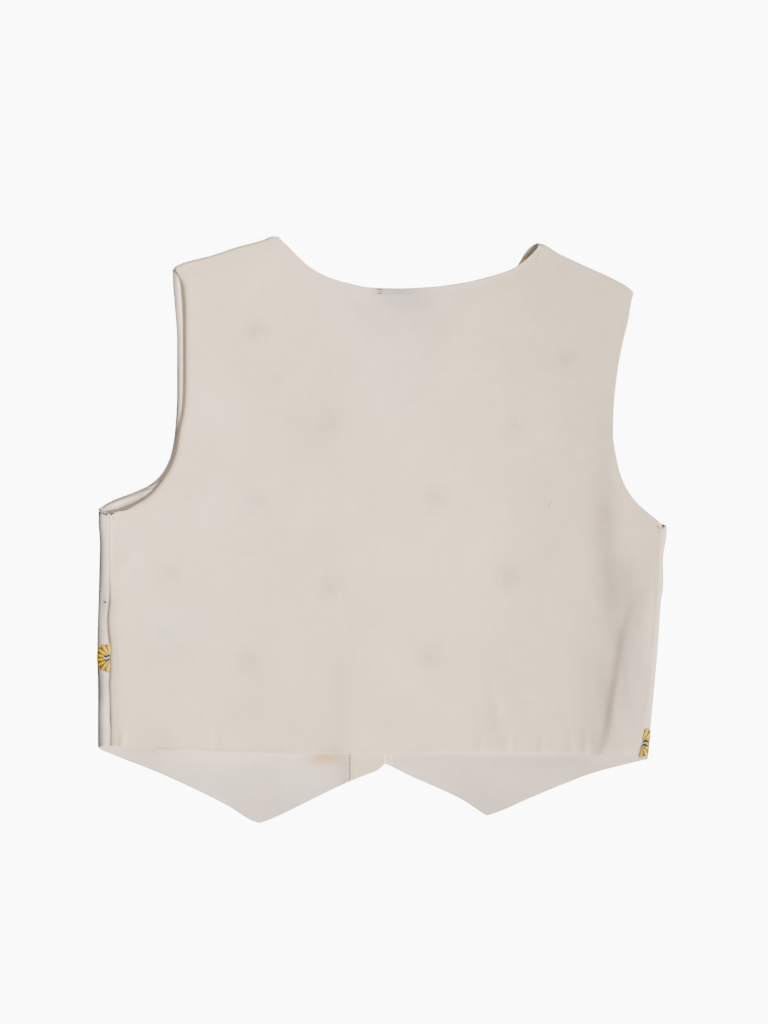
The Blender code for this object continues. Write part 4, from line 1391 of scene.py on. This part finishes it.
def vectors(tree, operation, first, second):
    """Add a Vector Math node and return its result."""
    other = "Scale" if operation == "SCALE" else 1
    inputs = {0: first, other: second}
    return add_node(tree, "ShaderNodeVectorMath", {"operation": operation}, inputs).outputs[0]


def link_outputs(tree, out, values):
    """Link values to a group's or a shader's named sockets."""
    for name, value in values.items():
        tree.links.new(value, out.inputs[name])


def noise(tree, vector, scale, detail):
    """Add a Noise Texture and return its value, about 0.5 on average, and its colour."""
    inputs = {"Vector": vector, "Scale": scale, "Detail": detail}
    return add_node(tree, "ShaderNodeTexNoise", inputs=inputs).outputs


def mix_colour(tree, factor, first, second, blend="MIX"):
    """Add a colour Mix node and return its result."""
    node = add_node(tree, "ShaderNodeMix", {"data_type": "RGBA", "blend_type": blend})
    for socket, value in zip((node.inputs[0], node.inputs[6], node.inputs[7]), (factor, first, second)):
        if isinstance(value, bpy.types.NodeSocket):
            tree.links.new(value, socket)
        else:
            socket.default_value = value
    return node.outputs[2]


def bump(tree, height, strength, distance):
    """Add a Bump node and return its normal."""
    inputs = {"Height": height, "Strength": strength, "Distance": distance}
    return add_node(tree, "ShaderNodeBump", inputs=inputs).outputs[0]


def weave_group():
    """Return the group that gives a plain weave's height and its uneven yarns."""
    group, given, out = new_tree(
        "Shader", "plain_weave",
        [
            ("Pattern", "Vector", None), ("Yarn pitch", "Float", 0.46 * MM),
            ("Unevenness", "Float", 0.35),
        ],
        [("Height", "Float"), ("Yarn", "Float")],
    )
    flat = given.outputs["Pattern"]
    drift = vectors(group, "SUBTRACT", noise(group, flat, DRIFT_SCALE, 1.0)[1], (0.5, 0.5, 0.5))
    drift = vectors(group, "SCALE", drift, YARN_DRIFT)
    count = maths(group, "DIVIDE", math.pi, given.outputs["Yarn pitch"])
    turned = vectors(group, "SCALE", vectors(group, "ADD", flat, drift), count)
    apart = add_node(group, "ShaderNodeSeparateXYZ", inputs={0: turned})
    warp, weft = (maths(group, "COSINE", apart.outputs[i]) for i in (0, 1))
    over = maths(group, "MULTIPLY", warp, weft)
    side = maths(group, "ABSOLUTE", maths(group, "SINE", apart.outputs[0]))
    rounded = maths(group, "MULTIPLY", side, 0.35)
    height = maths(group, "ADD", maths(group, "MULTIPLY_ADD", over, 0.5, 0.5), rounded)
    streaks = [
        noise(group, vectors(group, "MULTIPLY", flat, scale), 1.0, 2.0)[0]
        for scale in ((STREAK_FINE, STREAK_LONG, 1.0), (STREAK_LONG, STREAK_FINE, 1.0))
    ]
    yarn = maths(group, "MULTIPLY_ADD", maths(group, "ADD", *streaks), 0.5, 0.0)
    uneven = maths(group, "MULTIPLY", yarn, given.outputs["Unevenness"])
    link_outputs(group, out, {"Height": maths(group, "ADD", height, uneven), "Yarn": yarn})
    return group


def cloth_colour_group():
    """Return the group that tints a cloth by its tones, which hold painted shade, by its yarns and by
    slow mottling.
    """
    group, given, out = new_tree(
        "Shader", "cloth_colour",
        [
            ("Cloth", "Color", None), ("Tone", "Color", None), ("Yarn", "Float", 0.5),
            ("Pattern", "Vector", None), ("Mottling", "Float", 0.20),
            ("Warm", "Color", (0.56, 0.36, 0.16, 1)), ("Cool", "Color", (0.715, 0.655, 0.675, 1)),
        ],
        [("Colour", "Color"), ("Rough", "Float")],
    )
    cloth, flat, yarn = (given.outputs[name] for name in ("Cloth", "Pattern", "Yarn"))
    tones = add_node(group, "ShaderNodeSeparateColor", inputs={"Color": given.outputs["Tone"]})
    shade, warm, cool = tones.outputs
    slow = maths(group, "SUBTRACT", noise(group, flat, SLOW_MOTTLE, 3.0)[0], 0.5)
    quick = maths(group, "MULTIPLY_ADD", noise(group, flat, QUICK_MOTTLE, 3.0)[0], 0.5, -0.25)
    mottle = maths(group, "ADD", slow, quick)
    light = maths(group, "MULTIPLY_ADD", mottle, given.outputs["Mottling"], 1.0)
    light = maths(group, "ADD", light, maths(group, "MULTIPLY_ADD", yarn, 0.16, -0.08))
    # The tone's painted shade darkens the cloth here, or lightens it where negative.
    light = maths(group, "MULTIPLY_ADD", shade, -SHADE_SHARE, light)
    warmed = maths(group, "MULTIPLY", warm, WARM_SHARE)
    warmed = mix_colour(group, warmed, cloth, given.outputs["Warm"])
    cooled = maths(group, "MULTIPLY", cool, COOL_SHARE)
    cooled = mix_colour(group, cooled, warmed, given.outputs["Cool"])
    rough = maths(group, "MULTIPLY_ADD", yarn, 0.14, 0.80)
    link_outputs(group, out, {"Colour": vectors(group, "SCALE", cooled, light), "Rough": rough})
    return group


def new_material(name):
    """Return a new node material, its tree and its shader."""
    material = bpy.data.materials.new(name)
    material.use_nodes = True
    tree = material.node_tree
    return material, tree, tree.nodes["Principled BSDF"]


def cloth_material(name, colour, pitch, weave, mottling, sheen=0.12):
    """Return a matt woven cloth whose weave follows its flat pattern."""
    material, tree, shader = new_material(name)
    flat = add_node(tree, "ShaderNodeUVMap", {"uv_map": "pattern"}).outputs[0]
    tone = add_node(tree, "ShaderNodeAttribute", {"attribute_name": "tone"}).outputs["Color"]
    woven = add_node(
        tree, "ShaderNodeGroup", {"node_tree": bpy.data.node_groups["plain_weave"]},
        {"Pattern": flat, "Yarn pitch": pitch},
    )
    coloured = add_node(
        tree, "ShaderNodeGroup", {"node_tree": bpy.data.node_groups["cloth_colour"]},
        {
            "Cloth": (*colour, 1), "Tone": tone, "Yarn": woven.outputs["Yarn"], "Pattern": flat,
            "Mottling": mottling,
        },
    )
    colour, rough = coloured.outputs
    raised = bump(tree, woven.outputs["Height"], weave, WEAVE_DEPTH)
    link_outputs(tree, shader, {"Base Color": colour, "Roughness": rough, "Normal": raised})
    shader.inputs["Specular IOR Level"].default_value = 0.25
    shader.inputs["Sheen Weight"].default_value = sheen
    shader.inputs["Sheen Roughness"].default_value = 0.5
    return material


def silk_material():
    """Return the embroidery's shiny floss, dyed by each thread's own attribute."""
    material, tree, shader = new_material("embroidery_floss")
    dye = add_node(tree, "ShaderNodeAttribute", {"attribute_name": "dye"}).outputs["Color"]
    place = add_node(tree, "ShaderNodeTexCoord").outputs["Object"]
    ply = noise(tree, place, FLOSS_PLY, 1.0)[0]
    shade = maths(tree, "MULTIPLY_ADD", ply, 0.5, -0.05)
    shaded = mix_colour(tree, shade, dye, (0.35, 0.30, 0.25, 1), "MULTIPLY")
    rough = maths(tree, "MULTIPLY_ADD", ply, 0.2, 0.40)
    raised = bump(tree, ply, 0.4, PLY_DEPTH)
    link_outputs(tree, shader, {"Base Color": shaded, "Roughness": rough, "Normal": raised})
    shader.inputs["Specular IOR Level"].default_value = 0.35
    return material


def thread_material(name, colour):
    """Return plain cotton sewing thread."""
    material, tree, shader = new_material(name)
    place = add_node(tree, "ShaderNodeTexCoord").outputs["Object"]
    ply = noise(tree, place, THREAD_PLY, 1.0)[0]
    dark = [channel * share for channel, share in zip(colour, (0.4, 0.36, 0.32))]
    shaded = mix_colour(tree, maths(tree, "MULTIPLY", ply, 0.45), (*colour, 1), (*dark, 1))
    rough = maths(tree, "MULTIPLY_ADD", ply, 0.15, 0.65)
    link_outputs(tree, shader, {"Base Color": shaded, "Roughness": rough})
    return material


# ---------------------------------------------------------------- settings


def length_property(name, description, value, low, high):
    """Return a length setting, from sizes in millimetres."""
    return FloatProperty(
        name=name, description=description, default=value * MM, min=low * MM, max=high * MM,
        unit="LENGTH", precision=5,
    )


def share_property(name, description, value, low, high):
    """Return a setting that is a share."""
    return FloatProperty(
        name=name, description=description, default=value, min=low, max=high, subtype="FACTOR"
    )


def light_property(name, description, value, unit="NONE"):
    """Return a setting for a light's strength."""
    return FloatProperty(name=name, description=description, default=value, min=0.0, unit=unit)


def colour_property(name, description, value):
    """Return a colour setting."""
    return FloatVectorProperty(
        name=name, description=description, default=value, size=3, min=0.0, max=1.0, subtype="COLOR"
    )


class WaistcoatCloth(bpy.types.PropertyGroup):
    """Sizes of the cloth and its creases."""

    thickness: length_property("Cloth thickness", "Thickness of each layer of cloth", 0.6, 0.4, 0.9)
    spacing: length_property("Grid spacing", "Distance between a panel's mesh lines", 2.1, 1.5, 8.0)
    crease: share_property("Crease height", "Height of the creases, as a share", 1.0, 0.0, 1.5)
    yarn_pitch: length_property("Yarn pitch", "Distance between the weave's yarns", 0.46, 0.2, 2.0)
    weave: share_property("Weave relief", "Strength of the weave's relief", 0.14, 0.0, 1.0)


class WaistcoatSewing(bpy.types.PropertyGroup):
    """Sizes of the sewing and the embroidery."""

    stitch_length: length_property("Stitch length", "Length of one sewn stitch", 1.7, 0.8, 4.0)
    stitch_gap: length_property("Stitch gap", "Cloth between two stitches", 0.7, 0.1, 2.0)
    thread: length_property("Sewing thread", "Thickness of the sewing thread", 0.22, 0.1, 0.6)
    floss: share_property("Floss thickness", "Thickness of the embroidery, as a share", 1.0, 0.5, 1.3)
    seed: IntProperty(name="Seed", description="Sets how the threads vary", default=7, min=0)


class WaistcoatColours(bpy.types.PropertyGroup):
    """Colours of the cloth and the threads."""

    ivory: colour_property("Ivory", "The back's cotton", (0.790, 0.665, 0.545))
    lining: colour_property("Lining", "The fronts' cotton", (0.800, 0.702, 0.645))
    facing: colour_property("Facing", "The bands inside the front edges", (0.775, 0.655, 0.520))
    tape: colour_property("Tape", "The bare neck label", (0.74, 0.73, 0.71))
    # The petals' dye runs from dark gold, their painted shade, to gold, their painted light.
    gold: colour_property("Gold", "The petals' light floss", (1.0, 0.76, 0.025))
    dark_gold: colour_property("Dark gold", "The petals' shaded floss", (0.15, 0.095, 0.010))
    navy: colour_property("Navy", "The outline of a flower's centre", (0.012, 0.011, 0.018))
    silver: colour_property("Silver", "The fill of a flower's centre", (0.42, 0.43, 0.42))
    cotton_thread: colour_property("Sewing thread", "The seams' thread", (0.42, 0.37, 0.31))
    pale_thread: colour_property("Facing thread", "The left facing's pale thread", (0.92, 0.88, 0.82))
    dark_thread: colour_property("Tack thread", "The short tacks under the arms", (0.055, 0.045, 0.040))


class WaistcoatStudio(bpy.types.PropertyGroup):
    """The floor, the lights and the camera."""

    floor: colour_property("Floor", "The plain floor", (0.30, 0.30, 0.30))
    lamp: colour_property("Lamp", "The colour of all the light", (1.0, 0.908, 0.790))
    key: light_property("Key light", "Power of the lamp from the lower right", 1920.0, "POWER")
    top: light_property("Top light", "Power of the large lamp overhead", 26.0, "POWER")
    fill: light_property("Fill light", "Strength of the light from all round", 0.25)
    glow: light_property("Floor glow", "How bright the floor looks beside the cloth", 10.0)
    lens: length_property("Lens", "Focal length", 105.0, 20.0, 300.0)


SETTINGS = {
    "waistcoat_cloth": WaistcoatCloth, "waistcoat_sewing": WaistcoatSewing,
    "waistcoat_colours": WaistcoatColours, "waistcoat_studio": WaistcoatStudio,
}


def laid(context):
    """Return the garment's surfaces for the scene's settings."""
    cloth = context.scene.waistcoat_cloth
    return Lie(cloth.thickness / MM, cloth.crease)


def spacing_of(context):
    """Return the panels' grid spacing in millimetres."""
    return context.scene.waistcoat_cloth.spacing / MM


def cloth_finish(context, name, colour, mottling=0.27):
    """Return a cloth material by name, made from the scene's settings."""
    cloth = context.scene.waistcoat_cloth
    return cloth_material(name, tuple(colour), cloth.yarn_pitch, cloth.weave, mottling)


# ---------------------------------------------------------------- operators


class WAISTCOAT_OT_finishes(bpy.types.Operator):
    """Make the node trees that the pieces share"""

    bl_idname = "waistcoat.finishes"
    bl_label = "Make shared finishes"

    def execute(self, context):
        colours = context.scene.waistcoat_colours
        for make in (weave_group, cloth_colour_group, embroidery_tree, stitch_tree):
            make()
        thread_material("sewing_thread", colours.cotton_thread)
        thread_material("pale_thread", colours.pale_thread)
        thread_material("tack_thread", colours.dark_thread)
        silk_material()
        return {"FINISHED"}


class WAISTCOAT_OT_back(bpy.types.Operator):
    """Make the back, from its hem to the shoulder seams and neckline"""

    bl_idname = "waistcoat.back"
    bl_label = "Make the back"

    def execute(self, context):
        lie = laid(context)
        across, up = back_grid(lie, spacing_of(context))
        tones = soft_tones(across, up, BACK_TONES) + show_through(across, up)
        inside = v_share(across, up)
        tones[..., 2] += V_TONE_COOL * inside
        # Painted shade beside the left side seam.
        tones[..., 0] += V_TONE_LIGHT * inside + back_seam_shade(across, up)
        material = cloth_finish(context, "ivory_cotton_back", context.scene.waistcoat_colours.ivory)
        lay_cloth(
            "back_cloth", "back_panel", (across, up), lie.back(across, up), tones,
            lie.cloth, material, ["left_front_cloth", "right_front_cloth"],
        )
        return {"FINISHED"}


class WAISTCOAT_OT_fronts(bpy.types.Operator):
    """Make both fronts, folded round the sides and over the shoulders"""

    bl_idname = "waistcoat.fronts"
    bl_label = "Make the fronts"

    def execute(self, context):
        lie = laid(context)
        material = cloth_finish(context, "ivory_cotton_fronts", context.scene.waistcoat_colours.lining)
        fronts = (
            (
                "left_front_cloth", "front_left", -1, lie.left_front, FRONT_LEFT_TONES,
                lie.left_front_shade, ["right_front_cloth"],
            ),
            (
                "right_front_cloth", "front_right", 1, lie.right_front, FRONT_RIGHT_TONES,
                lie.right_front_shade, ["floor"],
            ),
        )
        for name, node, side, surface, patches, shade, under in fronts:
            across, up = front_grid(lie, side, spacing_of(context))
            tones = soft_tones(across, up, patches)
            # Painted shade in the fronts' folds, seams and edges, which also makes them cooler.
            shades = shade(across, up)
            tones[..., 0] += shades
            tones[..., 2] += SHADE_COOL * shades
            lay_cloth(
                name, node, (across, up), surface(across, up), tones, lie.cloth,
                material, under,
            )
        return {"FINISHED"}


class WAISTCOAT_OT_facings(bpy.types.Operator):
    """Make the bands inside the front edges"""

    bl_idname = "waistcoat.facings"
    bl_label = "Make the facings"

    def execute(self, context):
        lie = laid(context)
        material = cloth_finish(context, "facing_cotton_bands", context.scene.waistcoat_colours.facing)
        bands = (
            ("left_facing_cloth", "facing_left", -1, lie.left_front, "left_front_cloth"),
            ("right_facing_cloth", "facing_right", 1, lie.right_front, "right_front_cloth"),
        )
        for name, node, side, surface, under in bands:
            across, up = facing_grid(side, spacing_of(context) * BAND_SPACING)
            band = lie.cloth * FACING_THICK
            # The band's outer edge is sewn down into the front.
            outer = np.abs(across - (across[:, :1] if side < 0 else across[:, -1:]))
            sunk = FACING_SINK * fade(outer, FACING_SINK_OVER)
            rise = (lie.cloth + band) / 2 + FACING_GAP - sunk
            points = on_face(surface, across, up, rise[..., None])
            lay_cloth(
                name, node, (across, up), points, np.zeros_like(points), band,
                material, [under], BAND_ROLL,
            )
        return {"FINISHED"}


class WAISTCOAT_OT_label(bpy.types.Operator):
    """Make the bare label inside the back of the neck"""

    bl_idname = "waistcoat.label"
    bl_label = "Make the neck label"

    def execute(self, context):
        lie = laid(context)
        sizes = (LABEL_RIGHT - LABEL_LEFT, LABEL_HEIGHT)
        columns, rows = (framed_lines(size, LABEL_SPACING, EDGE_LINES[:4]) for size in sizes)
        across = LABEL_LEFT + columns[None, :] * np.ones((len(rows), 1))
        up = lie.back_top(across) - LABEL_INSET - LABEL_HEIGHT + rows[:, None]
        colour = tuple(context.scene.waistcoat_colours.tape)
        material = cloth_material(
            "label_tape_bare", colour, pitch=0.3 * MM, weave=0.3, mottling=0.02, sheen=0.05
        )
        points = on_face(lie.back, across, up, -(lie.cloth + LAYER_GAP))
        lay_cloth(
            "neck_label_tape", "neck_label", (across, up), points,
            np.zeros_like(points), lie.cloth * LABEL_THICK, material, ["back_cloth"], roll=0.0,
        )
        return {"FINISHED"}


class WAISTCOAT_OT_seams(bpy.types.Operator):
    """Sew the facings' edges and the neck label, and the tacks under the arms and by the neck"""

    bl_idname = "waistcoat.seams"
    bl_label = "Sew the seams"

    def execute(self, context):
        lie = laid(context)
        sewing = context.scene.waistcoat_sewing
        face = lie.cloth / 2 + THREAD_RISE
        pale = {"Material": bpy.data.materials["pale_thread"]}
        looks = {
            "left_facing_stitches": {**pale, "Thread thickness": sewing.thread * 1.5},
            "left_facing_edging": {
                **pale, "Thread thickness": sewing.thread * 2,
                "Stitch length": sewing.stitch_length * 0.4, "Stitch gap": sewing.stitch_gap * 3,
            },
        }
        plain = {
            "Stitch length": sewing.stitch_length, "Stitch gap": sewing.stitch_gap,
            "Thread thickness": sewing.thread, "Seed": sewing.seed,
            "Material": bpy.data.materials["sewing_thread"],
        }
        for name, lines in stitch_lines(lie, face).items():
            work(name, "running_stitches", lines, {**plain, **looks.get(name, {})})
        values = {"Thickness": 1.0, "Sides": 6, "Material": bpy.data.materials["tack_thread"]}
        tacks = (
            ("left_front_tacks", lie.left_front, LEFT_FRONT_TACKS, -face),
            ("back_tacks", lie.back, BACK_TACKS, face),
        )
        for name, surface, places, out in tacks:
            dark = [tuple(context.scene.waistcoat_colours.dark_thread)] * len(places["up"])
            lines, girths, dyed = short_threads(surface, places, out, dark)
            work(name, "embroidery_threads", lines, values, girths, dyed)
        return {"FINISHED"}


class WAISTCOAT_OT_flowers(bpy.types.Operator):
    """Work the satin stitch flowers on the fronts' outer faces"""

    bl_idname = "waistcoat.flowers"
    bl_label = "Embroider the flowers"

    def execute(self, context):
        lie = laid(context)
        sewing = context.scene.waistcoat_sewing
        colours = context.scene.waistcoat_colours
        floss = ("gold", "dark_gold", "navy", "silver")
        dyes = {name: np.array(getattr(colours, name)) for name in floss}
        random = np.random.default_rng(sewing.seed)
        face = lie.cloth / 2
        silk = bpy.data.materials["embroidery_floss"]
        values = {"Thickness": sewing.floss, "Sides": 6, "Material": silk}
        sides = (
            ("left_flowers", -1, lie.left_front, LEFT_FLOWERS, LEFT_SEAM_FLOWER),
            ("right_flowers", 1, lie.right_front, RIGHT_FLOWERS, RIGHT_SEAM_FLOWER),
        )
        for name, side, surface, places, seam_height in sides:
            def on_cloth(across, up):
                return side * (lie.seam_reach(side, up) - across) > 0.15

            seam = float(lie.seam_reach(side, seam_height))
            spots = [*zip(places["across"], places["up"], places["turn"]), (seam, seam_height, 4.0)]
            lines, girths, dyed = lay_flowers(surface, spots, dyes, face, random, on_cloth)
            if side > 0:
                span = dyes["gold"] - dyes["dark_gold"]
                mixed = [dyes["dark_gold"] + span * share for share in NECK_FLOWER["dye"]]
                extra = short_threads(surface, NECK_FLOWER, face, mixed)
                lines, girths, dyed = lines + extra[0], girths + extra[1], dyed + extra[2]
            work(name, "embroidery_threads", lines, values, girths, dyed)
        return {"FINISHED"}


# The floor's half width, the lamps' places and the key lamp's aim, in metres, and its cone, which
# fades to the right.
FLOOR_REACH = 15.0
KEY_PLACE = (2.32, -1.03, 1.59)
KEY_AIM = (-0.47, 0.20, 0.0)
KEY_CONE = math.radians(20)
KEY_RADIUS = 0.25
TOP_PLACE = (0.2, -0.1, 2.4)
TOP_SIZE = 1.6
# How much of the table the camera sees along its long side, and the middle of it.
VIEW_LENGTH = 563.2
VIEW_CENTRE = (1.65, 9.5, 2.5)
SENSOR_WIDTH = 36


class WAISTCOAT_OT_stage(bpy.types.Operator):
    """Make the plain floor, the soft lights and the camera straight above"""

    bl_idname = "waistcoat.stage"
    bl_label = "Set the stage"

    def execute(self, context):
        studio = context.scene.waistcoat_studio
        mesh = bpy.data.meshes.new("floor")
        corners = ((-1, -1, 0), (1, -1, 0), (1, 1, 0), (-1, 1, 0))
        mesh.from_pydata([Vector(corner) * FLOOR_REACH for corner in corners], [], [(0, 1, 2, 3)])
        floor = bpy.data.objects.new("floor", mesh)
        context.scene.collection.objects.link(floor)
        material, tree, shader = new_material("plain_floor")
        looks = {
            "Base Color": (*studio.floor, 1), "Roughness": 0.9, "Specular IOR Level": 0.1,
            "Emission Color": (1.0, 1.0, 1.0, 1),
        }
        for name, value in looks.items():
            shader.inputs[name].default_value = value
        seen = add_node(tree, "ShaderNodeLightPath").outputs["Is Camera Ray"]
        tree.links.new(maths(tree, "MULTIPLY", seen, studio.glow), shader.inputs["Emission Strength"])
        mesh.materials.append(material)
        floor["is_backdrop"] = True

        world = bpy.data.worlds.new("studio_air")
        world.use_nodes = True
        air = world.node_tree.nodes["Background"].inputs
        air["Color"].default_value = (*studio.lamp, 1)
        air["Strength"].default_value = studio.fill
        context.scene.world = world

        lamps = (
            ("key_lamp", "SPOT", studio.key, KEY_PLACE, KEY_AIM),
            ("top_lamp", "AREA", studio.top, TOP_PLACE, (0, 0, 0)),
        )
        for name, kind, power, place, aim in lamps:
            lamp = bpy.data.lights.new(name, kind)
            lamp.energy, lamp.color = power, studio.lamp
            if kind == "SPOT":
                lamp.spot_size, lamp.spot_blend, lamp.shadow_soft_size = KEY_CONE, 1.0, KEY_RADIUS
            else:
                lamp.shape, lamp.size = "DISK", TOP_SIZE
            holder = bpy.data.objects.new(name, lamp)
            holder.location = place
            holder.rotation_euler = (Vector(aim) - holder.location).to_track_quat("-Z", "Y").to_euler()
            context.scene.collection.objects.link(holder)

        camera = bpy.data.cameras.new("camera")
        camera.lens = studio.lens / MM
        camera.sensor_width = SENSOR_WIDTH
        eye = bpy.data.objects.new("camera", camera)
        distance = VIEW_LENGTH * MM / SENSOR_WIDTH * camera.lens
        eye.matrix_world = Matrix.Translation(Vector(VIEW_CENTRE) * MM + Vector((0, 0, distance)))
        camera.clip_start, camera.clip_end = 0.05, 20
        context.scene.collection.objects.link(eye)
        context.scene.camera = eye
        return {"FINISHED"}


STEPS = (
    WAISTCOAT_OT_finishes, WAISTCOAT_OT_back, WAISTCOAT_OT_fronts, WAISTCOAT_OT_facings,
    WAISTCOAT_OT_label, WAISTCOAT_OT_seams, WAISTCOAT_OT_flowers, WAISTCOAT_OT_stage,
)


class WAISTCOAT_PT_panel(bpy.types.Panel):
    """Settings and steps of the waistcoat"""

    bl_label = "Waistcoat"
    bl_idname = "WAISTCOAT_PT_panel"
    bl_space_type = "VIEW_3D"
    bl_region_type = "UI"
    bl_category = "Waistcoat"

    def draw(self, context):
        for name, group in SETTINGS.items():
            box = self.layout.box()
            box.label(text=group.__name__.replace("Waistcoat", ""))
            for setting in group.__annotations__:
                box.prop(getattr(context.scene, name), setting)
        for step in STEPS:
            self.layout.operator(step.bl_idname)


CLASSES = (*SETTINGS.values(), *STEPS, WAISTCOAT_PT_panel)


def register():
    """Register the settings, the steps and the panel."""
    for item in CLASSES:
        bpy.utils.register_class(item)
    for name, group in SETTINGS.items():
        setattr(bpy.types.Scene, name, PointerProperty(type=group))


def unregister():
    """Take away what register added."""
    for name in SETTINGS:
        delattr(bpy.types.Scene, name)
    for item in reversed(CLASSES):
        bpy.utils.unregister_class(item)


def main():
    """Make the whole waistcoat."""
    register()
    for step in STEPS:
        group, name = step.bl_idname.split(".")
        getattr(getattr(bpy.ops, group), name)()
    boxes = {"cad": CAD_BOX, "visual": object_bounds()}
    {name: [list(corner) for corner in box] for name, box in boxes.items()}


if __name__ == "__main__":
    main()
